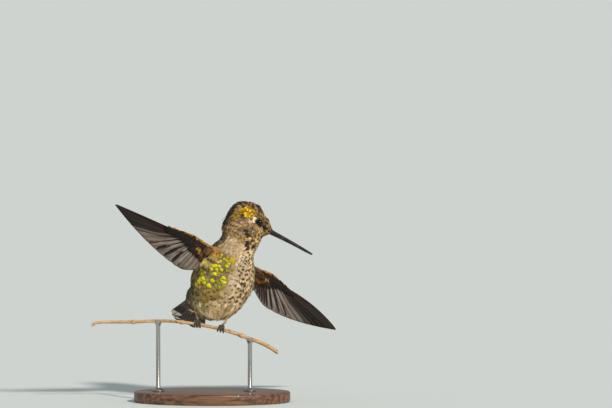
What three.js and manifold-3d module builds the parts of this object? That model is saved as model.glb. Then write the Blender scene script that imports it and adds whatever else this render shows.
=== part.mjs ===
// A life-size female Anna's hummingbird, perched upright with both wings opened, on a cut length of
// stem held by a small display stand. It is a still model with no joints.
// Millimetres, +Z up. The origin is the centre of the stand base's underside, +X runs along the perch
// towards the bird's left foot, and +Y points to the bird's tail.
import * as THREE from "three";
import { mergeVertices } from "three/addons/utils/BufferGeometryUtils.js";
import Module from "manifold-3d";

const wasm = await Module();
wasm.setup();

const at = (x, y, z) => new THREE.Vector3(x, y, z);
const degrees = (angle) => THREE.MathUtils.degToRad(angle);

// ---------------------------------------------------------------- driving dimensions
const CUT = 0.3; // thin cut between two pieces of flesh
const FIT = 0.12; // clearance round eyes, bill, toes and claws

const HEAD = {
  centre: at(12.2, -6, 66),
  forward: at(0.85, -0.293, -0.442), // the way the bill points
  up: at(0.42, -0.145, 0.896),
};
const EYE = { radius: 1.65, forward: 5.4, up: 4.05, out: 4.1 };
const BILL = { length: 18.1, rooted: 2.6, width: 1.05, depth: 0.95, start: 10.1, up: 2.35, gape: 0.2 };

// The body is one form from crown to tail root. Each station has its centre, the way its front faces
// (degrees of turn from -Y towards +X), and its reach to the front, to the back and to each side.
const BODY = [
  { centre: at(15.6, -7.2, 74.5), turn: 71, front: 0, back: 0, side: 0 },
  { centre: at(15.1, -7.0, 73.1), turn: 71, front: 3.9, back: 4.6, side: 4.3 },
  { centre: at(14.2, -6.7, 71.2), turn: 71, front: 6.3, back: 6.6, side: 6.1 },
  { centre: at(13.0, -6.3, 68.4), turn: 71, front: 7.6, back: 7.6, side: 7.2 },
  { centre: at(11.6, -5.8, 64.8), turn: 70, front: 8.2, back: 7.7, side: 7.5 },
  { centre: at(10.3, -5.3, 61.0), turn: 64, front: 7.9, back: 7.2, side: 7.1 },
  { centre: at(8.7, -4.4, 57.4), turn: 52, front: 7.7, back: 7.0, side: 7.6 },
  { centre: at(6.6, -2.4, 53.4), turn: 44, front: 9.8, back: 8.6, side: 10.2 },
  { centre: at(4.6, -0.2, 48.6), turn: 40, front: 11.6, back: 10.0, side: 12.0 },
  { centre: at(2.9, 1.9, 43.6), turn: 35, front: 12.1, back: 10.2, side: 12.0 },
  { centre: at(0.6, 4.9, 39.3), turn: 28, front: 10.4, back: 8.6, side: 10.2 },
  { centre: at(-3.0, 9.3, 37.2), turn: 18, front: 6.2, back: 5.2, side: 7.6 },
  { centre: at(-5.2, 14.2, 35.4), turn: 12, front: 3.2, back: 2.8, side: 5.0 },
  { centre: at(-6.4, 18.8, 33.6), turn: 11, front: 0, back: 0, side: 0 },
];
const HEAD_PLANE = { point: at(10.6, -5.4, 60.6), normal: at(0.5, 0.05, 0.86) };
const NECK_PLANE = { point: at(7.9, -3.9, 56.2), normal: at(0.4, -0.35, 0.85) };

const WINGS = {
  right: {
    shoulder: at(2.6, -7.6, 55.2),
    wrist: at(-4.2, -15.5, 61.2),
    tip: at(-34.6, -48.2, 75.8),
    chord: at(-0.45, 0.05, -0.89),
    handed: 1,
  },
  left: {
    shoulder: at(12.4, 3.8, 48.6),
    wrist: at(20.4, 13, 47.9),
    tip: at(46.0, 45, 23.9),
    chord: at(-0.34, -0.37, -0.86),
    handed: -1,
  },
};
const PRIMARIES = { count: 10, handLength: 12.5, innerTip: 9, width: 4.6, taper: 1.18 };
const SECONDARIES = { count: 6, spacing: 1.6, tipSpacing: 2.0, width: 4.4 };
const WING_CHORD = 13.4; // from the leading edge to the trailing edge at the wrist
const VANE = 0.6; // thickness of a flight feather
const CAMBER = 0.011; // how fast a wing falls away towards its trailing edge
const ARCH = 0.0008; // how far it bends up between wrist and tip
const SHINGLE = degrees(5); // tilt that lays each vane over the next

const TAIL = {
  root: at(-4.8, 10.4, 38),
  direction: at(-0.21, 0.9, -0.38),
  across: at(-0.94, -0.17, 0.28),
  lengths: [25.5, 26.2, 26.4, 25.8, 24.4], // from the middle pair outwards
  spread: [0.8, 2.1, 3.4, 4.7, 6], // degrees from the tail's axis
  rootGap: 0.5,
  width: 4.6,
};

const PERCH = {
  radius: 0.62,
  points: [
    at(-44.5, -1.4, 28.5),
    at(-41.8, -0.6, 29.6),
    at(-30.4, 0.3, 29.7),
    at(-17, 0.2, 30.1),
    at(-7.1, 0, 29.1),
    at(1.4, 0, 27.5),
    at(7.6, 0, 25.8),
    at(13.8, 0.2, 23.6),
    at(19.9, 0.4, 21.1),
    at(24.4, 0.2, 18.3),
  ],
  buds: [0.22, 0.47, 0.79], // where a leaf once grew, as a share of the way along
  budHeight: 0.22,
  budLength: 0.012, // also a share of the way along
  domeLength: 0.008,
};
const LEGS = {
  right: { hip: at(-4.0, 3.4, 38.2), heel: at(-5.7, 1.7, 32.3), foot: -5.4 },
  left: { hip: at(3.8, 1.6, 37.2), heel: at(5.2, 0.9, 30.2), foot: 3.3 },
};
const TOE = {
  radius: 0.31,
  spacing: 0.8,
  splay: 0.42,
  wrap: [8, 42, 78, 112, 140], // degrees round the perch from its top
};
const CLAW = {
  radius: 0.26,
  wrap: [128, 148, 162, 171],
  lift: [0, 0.3, 0.65, 0.95], // away from the toes' ring
  drift: [0.95, 1.1, 1.2, 1.25], // along the perch, as a share of the toe's splay
};

const STAND = {
  length: 58,
  depth: 40,
  height: 4,
  bevel: 0.6,
  rodRadius: 0.8,
  cupRadius: 1.35,
  rods: [-20, 14],
  collarRadius: 2.3,
  collarHeight: 1.1,
  cupHeight: 1.7,
};

// ---------------------------------------------------------------- solids
/** A closed three.js geometry as a manifold-3d solid, with its faces turned outwards. */
function solidOf(geometry) {
  const bare = new THREE.BufferGeometry();
  bare.setAttribute("position", geometry.getAttribute("position").clone());
  if (geometry.index) bare.setIndex(geometry.index.clone());
  const merged = mergeVertices(bare, 1e-4);
  const { array } = merged.getAttribute("position");
  const index = merged.index.array;
  const triangles = [];
  let volume = 0;
  for (let i = 0; i < index.length; i += 3) {
    const [a, b, c] = index.slice(i, i + 3);
    if (a === b || b === c || c === a) continue;
    const [pa, pb, pc] = [a, b, c].map((k) => at(...array.slice(3 * k, 3 * k + 3)));
    volume += pa.dot(pb.cross(pc));
    triangles.push(a, b, c);
  }
  if (volume < 0) triangles.reverse();
  return new wasm.Manifold(
    new wasm.Mesh({
      numProp: 3,
      vertProperties: array,
      triVerts: new Uint32Array(triangles),
    }),
  );
}

/** The largest body of a solid, without the crumbs that a cut can leave. */
function mainBody(solid) {
  return solid.decompose().reduce((a, b) => (b.volume() > a.volume() ? b : a));
}

/** Everything on one side of a plane, less half of a thin cut. */
function halfSpace({ point, normal }, sign, cut = CUT) {
  const beyond = 400; // larger than the whole model
  const box = new THREE.BoxGeometry(beyond, beyond, beyond);
  const along = normal.clone().normalize().multiplyScalar(sign);
  box.translate(0, 0, beyond / 2 + cut / 2);
  box.applyQuaternion(new THREE.Quaternion().setFromUnitVectors(at(0, 0, 1), along));
  box.translate(point.x, point.y, point.z);
  return solidOf(box);
}

/** Values given at even steps from 0 to 1, joined by a smooth curve. Lengths are squared on the way, so
 * that a size that starts from nothing swells like a dome. */
function sizesAlong(rows) {
  const times = rows.map((_, i) => i / (rows.length - 1));
  const squares = rows.flat().map((size) => size * size);
  const curve = new THREE.CubicInterpolant(times, squares, rows[0].length, []);
  return (t) => Array.from(curve.evaluate(t), (square) => Math.sqrt(Math.max(square, 0)));
}

/**
 * A closed form swept along a path: a lathe with its ends on its axis, bent so that the axis follows
 * the path and each ring takes its own reach to the front, the back and the sides.
 */
function loft({ path, front, sizes, around = 8, along = 8, grow = 0, ease = (share) => share }) {
  const profile = [];
  for (let i = 0; i <= along; i++) {
    profile.push(new THREE.Vector2(i % along ? 1 : 0, ease(i / along)));
  }
  const geometry = new THREE.LatheGeometry(profile, around);
  const position = geometry.getAttribute("position");
  for (let i = 0; i < position.count; i++) {
    const t = position.getY(i);
    const tangent = path.getTangent(t);
    const ahead = front(t).clone().projectOnPlane(tangent).normalize();
    const sideways = ahead.clone().cross(tangent);
    const [reachFront, reachBack, reachSide] = sizes(t);
    const z = position.getZ(i);
    const place = path
      .getPoint(t)
      .addScaledVector(ahead, z * ((z > 0 ? reachFront : reachBack) + grow))
      .addScaledVector(sideways, position.getX(i) * (reachSide + grow));
    position.setXYZ(i, place.x, place.y, place.z);
  }
  return solidOf(geometry);
}

/** A round tube that narrows along a path, with domed ends. */
function taperedTube({ path, radii, around = 8, along = 8, grow = 0, front = at(0.3, 1, 0.2) }) {
  const rows = radii.map((radius) => [radius, radius, radius]);
  return loft({ path, front: () => front, sizes: sizesAlong(rows), around, along, grow });
}

function ball(centre, radius, around = 12) {
  const geometry = new THREE.SphereGeometry(radius, around, around / 2);
  return solidOf(geometry.translate(centre.x, centre.y, centre.z));
}

/** The vector that a path's front takes when it faces so many degrees from -Y towards +X. */
function facing(turn) {
  return at(Math.sin(degrees(turn)), -Math.cos(degrees(turn)), 0);
}

// ---------------------------------------------------------------- finishes
const finish = (color, roughness = 0.8, metalness = 0) =>
  new THREE.MeshStandardMaterial({ color, roughness, metalness });
const FINISH = {
  crown: finish("#7d6235"),
  neck: finish("#c6a987"),
  trunk: finish("#b39a72"),
  wingCoverts: finish("#3f2f1f"),
  remiges: finish("#57514a"),
  rectrices: finish("#3b322a"),
  thigh: finish("#b9a078"),
  skin: finish("#2b2320", 0.6),
  bill: finish("#1c1a18", 0.35),
  eye: finish("#0b0806", 0.08),
  stem: finish("#a97c52", 0.75),
  base: finish("#4a3020", 0.45),
  rod: finish("#9a9a98", 0.3, 1),
};

const hummingbird = new THREE.Group();

/** Adds a solid to the model as a named mesh. */
function add(name, solid, material) {
  const { numProp, vertProperties, triVerts } = mainBody(solid).getMesh();
  const geometry = new THREE.BufferGeometry();
  geometry.setAttribute("position", new THREE.BufferAttribute(vertProperties, numProp));
  geometry.setIndex(new THREE.BufferAttribute(triVerts, 1));
  geometry.computeVertexNormals();
  const mesh = new THREE.Mesh(geometry, material);
  mesh.name = name;
  hummingbird.add(mesh);
}

// ---------------------------------------------------------------- head, neck and trunk
/** A point given forward, up and out to the bird's right from the head's centre. */
function inHead(forward, up, out = 0) {
  const right = HEAD.forward.clone().cross(HEAD.up);
  return HEAD.centre
    .clone()
    .addScaledVector(HEAD.forward, forward)
    .addScaledVector(HEAD.up, up)
    .addScaledVector(right, out);
}

/** The feathered body from crown to tail root, as one closed form. */
function bodyForm(grow = 0) {
  const path = new THREE.CatmullRomCurve3(BODY.map((station) => station.centre));
  const turns = BODY.map((station) => station.turn);
  const front = (t) => {
    const place = t * (turns.length - 1);
    const below = Math.min(Math.floor(place), turns.length - 2);
    return facing(THREE.MathUtils.lerp(turns[below], turns[below + 1], place - below));
  };
  const sizes = sizesAlong(BODY.map(({ front, back, side }) => [front, back, side]));
  return loft({ path, front, sizes, around: 18, along: 22, grow });
}

/** The face, which narrows from the cheeks to the feathers round the bill's root. */
function faceForm() {
  const path = new THREE.CatmullRomCurve3([
    inHead(2.5, 1.6),
    inHead(5.2, 1.9),
    inHead(7.6, 2.2),
    inHead(9.6, 2.3),
    inHead(10.9, 2.3),
  ]);
  const sizes = sizesAlong([
    [0, 0, 0],
    [4.7, 4.6, 5.9],
    [3.1, 3.6, 3.9],
    [1.5, 1.9, 2.0],
    [0, 0, 0],
  ]);
  return loft({ path, front: () => HEAD.up, sizes, around: 14, along: 8 });
}

/** The closed bill, from inside the head to its tip. */
function billForm(grow = 0) {
  const { start, up, rooted, length, width, depth } = BILL;
  const path = new THREE.CatmullRomCurve3([
    inHead(start - rooted, up - 0.1),
    inHead(start, up),
    inHead(start + length * 0.5, up + 0.12),
    inHead(start + length, up - 0.05),
  ]);
  const sizes = sizesAlong([
    [0, 0, 0],
    [depth, depth, width],
    [depth * 0.86, depth * 0.86, width * 0.86],
    [depth * 0.72, depth * 0.72, width * 0.72],
    [depth * 0.62, depth * 0.62, width * 0.64],
    [depth * 0.5, depth * 0.5, width * 0.54],
    [0, 0, 0],
  ]);
  return loft({ path, front: () => HEAD.up, sizes, around: 8, along: 9, grow });
}

function addHeadAndTrunk() {
  const body = bodyForm();
  const eyes = {
    right: inHead(EYE.forward, EYE.up, EYE.out),
    left: inHead(EYE.forward, EYE.up, -EYE.out),
  };
  let head = body.add(faceForm()).intersect(halfSpace(HEAD_PLANE, 1)).subtract(billForm(FIT));
  for (const [side, centre] of Object.entries(eyes)) {
    head = head.subtract(ball(centre, EYE.radius + FIT));
    add(`eye_${side}`, ball(centre, EYE.radius), FINISH.eye);
  }
  add("head", head, FINISH.crown);
  const neck = body.intersect(halfSpace(HEAD_PLANE, -1)).intersect(halfSpace(NECK_PLANE, 1));
  add("neck", neck, FINISH.neck);
  add("trunk", body.intersect(halfSpace(NECK_PLANE, -1)), FINISH.trunk);

  const gape = { point: inHead(BILL.start, BILL.up - 0.12), normal: HEAD.up };
  const bill = billForm();
  add("bill_upper", bill.intersect(halfSpace(gape, 1, BILL.gape)), FINISH.bill);
  add("bill_lower", bill.intersect(halfSpace(gape, -1, BILL.gape)), FINISH.bill);
}

// ---------------------------------------------------------------- wings
/** How far the trailing edge lies from the leading edge, at a share of the way from wrist to tip. */
function chordAt(share) {
  return WING_CHORD * (1 - Math.pow(Math.max(share, 0), 1.5)) + 6 * Math.max(-share, 0);
}

/** One wing's own frame: x from wrist to tip, y from leading to trailing edge, z to the bird's back. */
function wingFrame({ wrist, tip, chord, handed }) {
  const span = tip.clone().sub(wrist);
  const length = span.length();
  span.normalize();
  const back = chord.clone().projectOnPlane(span).normalize();
  const dorsal = back.clone().cross(span).multiplyScalar(handed);
  const place = (x, y, z = 0) => {
    const rise = ARCH * x * (length - x) - CAMBER * y * y;
    return wrist
      .clone()
      .addScaledVector(span, x)
      .addScaledVector(back, y)
      .addScaledVector(dorsal, z + rise);
  };
  return { span, back, dorsal, length, place };
}

/** Rings that crowd towards the end of a path, so that a feather's tip comes out round. */
const crowdToTip = (share) => Math.sin((share * Math.PI) / 2);

/** A flight feather: a thin vane along a curved shaft, wider behind the shaft than before it. */
function flightFeather(frame, root, tip, width, lead, bow) {
  const middle = root.clone().lerp(tip, 0.55);
  const forwards = new THREE.Vector2(tip.y - root.y, root.x - tip.x).normalize();
  if (forwards.y > 0) forwards.negate();
  middle.addScaledVector(forwards, bow);
  const path = new THREE.QuadraticBezierCurve3(
    frame.place(root.x, root.y),
    frame.place(middle.x, middle.y),
    frame.place(tip.x, tip.y),
  );
  const front = (t) => {
    const tangent = path.getTangent(t);
    const across = frame.dorsal.clone().cross(tangent);
    if (across.dot(frame.back) < 0) across.negate();
    return across.normalize().addScaledVector(frame.dorsal, -Math.tan(SHINGLE));
  };
  const reach = (share) => [width * share, width * lead * share, VANE / 2];
  const sizes = sizesAlong([reach(0.2), reach(0.55), reach(0.64), reach(0.64), reach(0.56), [0, 0, 0]]);
  return loft({ path, front, sizes, around: 6, along: 5, ease: crowdToTip });
}

function primaryFeathers(frame) {
  const { count, handLength, innerTip, width, taper } = PRIMARIES;
  return Array.from({ length: count }, (_, i) => {
    const share = i / (count - 1);
    const root = new THREE.Vector2(0.8 + handLength * share, 1.5 - 1.1 * share);
    const x = innerTip + (frame.length - innerTip) * (1 - Math.pow(1 - share, taper));
    const tip = new THREE.Vector2(x, chordAt(x / frame.length));
    return flightFeather(frame, root, tip, width * (1 - 0.22 * share), 0.5 - 0.35 * share, 0.4);
  });
}

function secondaryFeathers(frame) {
  const { count, spacing, tipSpacing, width } = SECONDARIES;
  return Array.from({ length: count }, (_, i) => {
    const root = new THREE.Vector2(-0.8 - spacing * i, 1.7 + 0.25 * i);
    const x = PRIMARIES.innerTip - 3.6 - tipSpacing * i;
    const tip = new THREE.Vector2(x, chordAt(x / frame.length) - 0.12 * i * i);
    return flightFeather(frame, root, tip, width, 0.5, 0.3);
  });
}

/** The flesh and coverts of the arm, from the shoulder past the wrist and along the hand. */
function armForm(wing, frame) {
  const path = new THREE.CatmullRomCurve3([
    wing.shoulder,
    wing.shoulder.clone().lerp(wing.wrist, 0.5).addScaledVector(frame.back, 0.6),
    frame.place(0.2, 1.5),
    frame.place(6.5, 1.7),
    frame.place(13, 1.6),
    frame.place(21, 0.9),
    frame.place(30, 0.4),
  ]);
  const sizes = sizesAlong([
    [0, 0, 0],
    [3.6, 1.7, 2.0],
    [4.2, 1.5, 1.5],
    [3.8, 1.5, 1.1],
    [3.0, 1.3, 0.8],
    [1.8, 0.8, 0.55],
    [0, 0, 0],
  ]);
  return loft({ path, front: () => frame.back, sizes, around: 8, along: 12 });
}

function addWing(side) {
  const wing = WINGS[side];
  const frame = wingFrame(wing);
  const feathers = [...primaryFeathers(frame), ...secondaryFeathers(frame)];
  const whole = feathers
    .reduce((sum, feather) => sum.add(feather), armForm(wing, frame))
    .subtract(bodyForm(CUT));
  // The wrist is cut along a line that runs out between the first primary and the first secondary.
  const inner = frame.place(-0.1, 0);
  const outer = frame.place(PRIMARIES.innerTip - 1.8, WING_CHORD);
  const normal = outer.sub(inner).cross(frame.dorsal);
  if (normal.dot(frame.span) < 0) normal.negate();
  const wristPlane = { point: inner, normal };
  add(`wing_${side}_hand`, whole.intersect(halfSpace(wristPlane, 1)), FINISH.remiges);
  add(`wing_${side}_arm`, whole.intersect(halfSpace(wristPlane, -1)), FINISH.wingCoverts);
}

// ---------------------------------------------------------------- tail
function addTail() {
  const along = TAIL.direction.clone().normalize();
  const across = TAIL.across.clone().projectOnPlane(along).normalize();
  const dorsal = along.clone().cross(across);
  if (dorsal.z < 0) dorsal.negate();
  let tail = null;
  for (const sign of [1, -1]) {
    TAIL.lengths.forEach((length, i) => {
      const angle = degrees(TAIL.spread[i]);
      const root = TAIL.root
        .clone()
        .addScaledVector(across, sign * TAIL.rootGap * (i + 0.5))
        .addScaledVector(dorsal, -0.16 * i);
      const way = along
        .clone()
        .multiplyScalar(Math.cos(angle))
        .addScaledVector(across, sign * Math.sin(angle))
        .addScaledVector(dorsal, -0.012 * i);
      const path = new THREE.LineCurve3(root, root.clone().addScaledVector(way, length));
      const outwards = across.clone().multiplyScalar(sign).addScaledVector(dorsal, -0.06);
      const { width } = TAIL;
      const sizes = sizesAlong([
        [width * 0.34, width * 0.34, VANE / 2],
        [width * 0.44, width * 0.48, VANE / 2],
        [width * 0.48, width * 0.52, VANE / 2],
        [0, 0, 0],
      ]);
      const feather = loft({ path, front: () => outwards, sizes, around: 6, along: 4, ease: crowdToTip });
      tail = tail ? tail.add(feather) : feather;
    });
  }
  add("tail", tail.subtract(bodyForm(CUT)), FINISH.rectrices);
}

// ---------------------------------------------------------------- perch, legs and stand
const perchPath = new THREE.CatmullRomCurve3(PERCH.points);

function perchForm(grow = 0) {
  const { radius, buds, budHeight, budLength, domeLength } = PERCH;
  const radii = (t) => {
    const swelling = buds.reduce((sum, bud) => sum + Math.exp(-(((t - bud) / budLength) ** 2)), 0);
    const dome = Math.sqrt(Math.min(1, t / domeLength, (1 - t) / domeLength));
    const reach = (radius * (0.85 + 0.3 * t) + budHeight * swelling) * dome;
    return [reach, reach, reach];
  };
  return loft({ path: perchPath, front: () => at(0, 0, 1), sizes: radii, around: 6, along: 36, grow });
}

/** The middle of the perch at a given x. */
function perchAt(x) {
  let [low, high] = [0, 1];
  for (let i = 0; i < 30; i++) {
    const middle = (low + high) / 2;
    if (perchPath.getPoint(middle).x < x) low = middle;
    else high = middle;
  }
  return { centre: perchPath.getPoint(low), along: perchPath.getTangent(low) };
}

/** A toe that grips the perch, and its claw. `way` is -1 for the three front toes and 1 for the hind. */
function toeAndClaw(x, way, splay) {
  const { centre, along } = perchAt(x);
  const above = at(0, 0, 1).projectOnPlane(along).normalize();
  const outward = at(0, way, 0).projectOnPlane(along).normalize();
  const reach = PERCH.radius + TOE.radius + FIT + 0.1;
  const onRing = (angle, distance, drift) =>
    centre
      .clone()
      .addScaledVector(above, Math.cos(degrees(angle)) * distance)
      .addScaledVector(outward, Math.sin(degrees(angle)) * distance)
      .addScaledVector(along, drift);
  const toePath = new THREE.CatmullRomCurve3(
    TOE.wrap.map((angle, i) => onRing(angle, reach, splay * (i / (TOE.wrap.length - 1)))),
  );
  const radii = [0, TOE.radius, TOE.radius * 0.96, TOE.radius, TOE.radius * 0.9, TOE.radius, 0];
  const toe = { path: toePath, radii, around: 6, along: 7 };
  const clawPath = new THREE.CatmullRomCurve3(
    CLAW.wrap.map((angle, i) => onRing(angle, reach + CLAW.lift[i], splay * CLAW.drift[i])),
  );
  const clawRadii = [0, 1, 0.92, 0.65, 0.4, 0].map((share) => share * CLAW.radius);
  const claw = { path: clawPath, radii: clawRadii, around: 5, along: 5 };
  return { toe, claw };
}

function addLeg(side) {
  const { hip, heel, foot } = LEGS[side];
  const { centre, along } = perchAt(foot);
  const above = at(0, 0, 1).projectOnPlane(along).normalize();
  const ankle = centre.clone().addScaledVector(above, PERCH.radius + FIT + 0.42);
  const knee = hip.clone().lerp(heel, 0.5).add(at(0, -0.3, -0.2));
  const thighPath = new THREE.CatmullRomCurve3([hip, knee, heel]);
  const thigh = (grow) =>
    taperedTube({ path: thighPath, radii: [0, 2.7, 2.3, 1.7, 1.15, 0], around: 10, grow });
  add(`thigh_${side}`, thigh(0).subtract(bodyForm(CUT)), FINISH.thigh);

  const tarsusPath = new THREE.CatmullRomCurve3([heel.clone().lerp(knee, 0.35), heel, ankle]);
  const shank = taperedTube({ path: tarsusPath, radii: [0, 0.5, 0.44, 0.4, 0.46, 0] });
  const padSpan = along.clone().multiplyScalar(1.05);
  const padPath = new THREE.LineCurve3(ankle.clone().sub(padSpan), ankle.clone().add(padSpan));
  const pad = (grow) =>
    taperedTube({ path: padPath, radii: [0, 0.34, 0.4, 0.34, 0], along: 6, grow, front: above });
  add(`tarsus_${side}`, shank.add(pad(0)).subtract(thigh(FIT)), FINISH.skin);

  const grips = [
    ...[-1, 0, 1].map((step) => ({ x: foot + step * TOE.spacing, way: -1, splay: step * TOE.splay })),
    { x: foot, way: 1, splay: 0 },
  ];
  grips.forEach(({ x, way, splay }, i) => {
    const { toe, claw } = toeAndClaw(x, way, splay);
    const room = pad(FIT).add(shank).add(taperedTube({ ...claw, grow: FIT / 2 }));
    add(`toe_${side}_${i + 1}`, taperedTube(toe).subtract(room), FINISH.skin);
    add(`claw_${side}_${i + 1}`, taperedTube(claw), FINISH.bill);
  });
}

function addStand() {
  const { length, depth, height, bevel, rodRadius, cupRadius, cupHeight, collarRadius, collarHeight } = STAND;
  const outline = new THREE.Shape().absellipse(0, 0, length / 2 - bevel, depth / 2 - bevel, 0, 2 * Math.PI);
  const plate = new THREE.ExtrudeGeometry(outline, {
    depth: height - 2 * bevel,
    bevelThickness: bevel,
    bevelSize: bevel,
    bevelSegments: 1,
    curveSegments: 26,
  });
  add("stand_base", solidOf(plate.translate(0, 0, bevel)), FINISH.base);
  STAND.rods.forEach((x, i) => {
    const top = perchAt(x).centre;
    const foot = height + CUT;
    const profile = [
      [0, foot],
      [collarRadius, foot],
      [collarRadius, foot + collarHeight * 0.6],
      [collarRadius * 0.55, foot + collarHeight],
      [rodRadius, foot + collarHeight * 1.3],
      [rodRadius, top.z - cupHeight],
      [cupRadius, top.z - cupHeight * 0.45],
      [cupRadius, top.z + 0.25],
      [0, top.z + 0.25],
    ].map(([r, z]) => new THREE.Vector2(r, z));
    const rod = new THREE.LatheGeometry(profile, 12).rotateX(Math.PI / 2).translate(x, top.y, 0);
    add(`stand_rod_${i + 1}`, solidOf(rod).subtract(perchForm(FIT)), FINISH.rod);
  });
}

addHeadAndTrunk();
addWing("right");
addWing("left");
addTail();
addLeg("right");
addLeg("left");
add("perch", perchForm(), FINISH.stem);
addStand();

export default hummingbird;
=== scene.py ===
"""A life-size female Anna's hummingbird on a cut length of stem, dressed over its solids.

One skin stands for the flesh of head, neck, trunk, thighs and wing arms. The plumage lies over it as
solid feathers: fans of barbs on head and body, shafts with vanes in wings and tail. Eyes, bill, feet,
stem and stand are pieces of their own. Sizes are written in millimetres and made in metres.
"""

import logging
import math
from dataclasses import dataclass, field, replace
from enum import Enum
from functools import partial
from typing import Any, Callable, Optional, Sequence

import bpy
import numpy as np
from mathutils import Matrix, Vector
from mathutils.bvhtree import BVHTree
from mathutils.kdtree import KDTree


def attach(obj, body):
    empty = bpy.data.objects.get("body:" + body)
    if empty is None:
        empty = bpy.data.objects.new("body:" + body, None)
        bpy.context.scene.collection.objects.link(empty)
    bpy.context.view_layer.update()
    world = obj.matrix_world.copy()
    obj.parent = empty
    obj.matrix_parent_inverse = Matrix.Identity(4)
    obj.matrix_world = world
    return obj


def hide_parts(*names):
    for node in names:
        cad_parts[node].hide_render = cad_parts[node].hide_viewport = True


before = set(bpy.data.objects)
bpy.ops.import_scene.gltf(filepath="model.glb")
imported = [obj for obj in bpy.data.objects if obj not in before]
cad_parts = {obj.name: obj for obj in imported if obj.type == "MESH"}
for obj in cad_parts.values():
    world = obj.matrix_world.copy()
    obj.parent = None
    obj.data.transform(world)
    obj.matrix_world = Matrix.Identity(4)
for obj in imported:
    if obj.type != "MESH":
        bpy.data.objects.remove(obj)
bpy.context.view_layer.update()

LOG = logging.getLogger("hummingbird")
MM = 0.001
BODY = "root"
UV_MAP = "OFBake"
TUFT = 0.003  # how far one feather's patch reaches on the unwrap
Array = np.ndarray
Pair = tuple[float, float]
Numbers = Sequence[float]
Thing = bpy.types.Object
Socket = bpy.types.NodeSocket
AddNode = Callable[..., Socket]


# ---- small arithmetic
def linear(colour: str) -> tuple[float, float, float, float]:
    """Turns an sRGB hex colour into the linear values that shaders and attributes hold.

    Args:
        colour: The colour as "#rrggbb".

    Returns:
        Red, green, blue, and an alpha of one.
    """
    parts = [int(colour[i : i + 2], 16) / 255 for i in (1, 3, 5)]
    red, green, blue = (p / 12.92 if p <= 0.04045 else ((p + 0.055) / 1.055) ** 2.4 for p in parts)
    return red, green, blue, 1.0


def unit(vectors: Array) -> Array:
    """Scales vectors in the last axis to a length of one."""
    return vectors / np.maximum(np.linalg.norm(vectors, axis=-1, keepdims=True), 1e-12)


def ease(value: Array, low: float, high: float) -> Array:
    """Rises smoothly from 0 at low to 1 at high, or falls where low is the greater."""
    share = np.clip((np.asarray(value, float) - low) / (high - low), 0, 1)
    return share * share * (3 - 2 * share)


def norms(vectors: Array) -> Array:
    """Gives the lengths of vectors that stand in rows."""
    return np.linalg.norm(vectors, axis=1)


def flat_to(vectors: Array, normals: Array) -> Array:
    """Takes out of each vector the part along its normal, and makes the rest a unit."""
    return unit(vectors - (vectors * normals).sum(-1, keepdims=True) * normals)


def smooth_path(points: Sequence[Numbers], per_span: int = 12) -> Array:
    """Runs a Catmull-Rom curve through points.

    Args:
        points: The points, of any number of dimensions.
        per_span: Steps between one point and the next.

    Returns:
        The points of the curve, ends included.
    """
    knots = np.array(points, float)
    padded = np.vstack([2 * knots[0] - knots[1], knots, 2 * knots[-1] - knots[-2]])
    made = []
    for a, b, c, d in zip(padded, padded[1:], padded[2:], padded[3:]):
        for t in np.linspace(0, 1, per_span, endpoint=False):
            first, second, third = c - a, 2 * a - 5 * b + 4 * c - d, 3 * b - a - 3 * c + d
            made.append(0.5 * (2 * b + first * t + second * t**2 + third * t**3))
    return np.array([*made, knots[-1]])


def read(items: Any, key: str, width: int = 1, kind: type = float) -> Array:
    """Reads a property of all the items of a mesh at once.

    Args:
        items: The mesh's vertices, loops, polygons or the like.
        key: The property's name.
        width: How many numbers it has.
        kind: The type of its numbers.

    Returns:
        The values, in a row for each item where the width is above one.
    """
    values = np.empty(len(items) * width, kind)
    items.foreach_get(key, values)
    return values.reshape(-1, width) if width > 1 else values


# ---- modelling
def select_only(thing: Thing) -> None:
    """Leaves one object selected and active."""
    bpy.ops.object.select_all(action="DESELECT")
    thing.select_set(True)
    bpy.context.view_layer.objects.active = thing


def edit(thing: Thing, steps: Callable[[], Any]) -> None:
    """Runs edit-mode operators on the whole of one mesh.

    Args:
        thing: The object.
        steps: Runs the operators, with everything selected at first.
    """
    select_only(thing)
    bpy.ops.object.mode_set(mode="EDIT")
    bpy.ops.mesh.select_all(action="SELECT")
    steps()
    bpy.ops.object.mode_set(mode="OBJECT")


def settle(thing: Thing) -> None:
    """Puts an object's place and size into its mesh."""
    select_only(thing)
    bpy.ops.object.transform_apply(location=True, rotation=True, scale=True)


def fresh(name: str, operator: Callable[..., Any], **settings: Any) -> Thing:
    """Adds a primitive while nothing else is selected.

    Args:
        name: The object's name.
        operator: The operator that adds it.
        **settings: The operator's settings.

    Returns:
        The object, with its place and size in its mesh.
    """
    bpy.ops.object.select_all(action="DESELECT")
    operator(**settings)
    thing = bpy.context.object
    thing.name = name
    settle(thing)
    return thing


def linked(name: str, data: bpy.types.ID) -> Thing:
    """Puts data into the scene as an object."""
    thing = bpy.data.objects.new(name, data)
    bpy.context.scene.collection.objects.link(thing)
    return thing


def apply_modifier(thing: Thing, kind: str, **settings: Any) -> None:
    """Adds a modifier and applies it.

    Args:
        thing: The object.
        kind: The modifier's type.
        **settings: The modifier's settings.
    """
    select_only(thing)
    modifier = thing.modifiers.new(kind.title(), kind)
    for key, value in settings.items():
        setattr(modifier, key, value)
    bpy.ops.object.modifier_apply(modifier=modifier.name)


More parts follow.
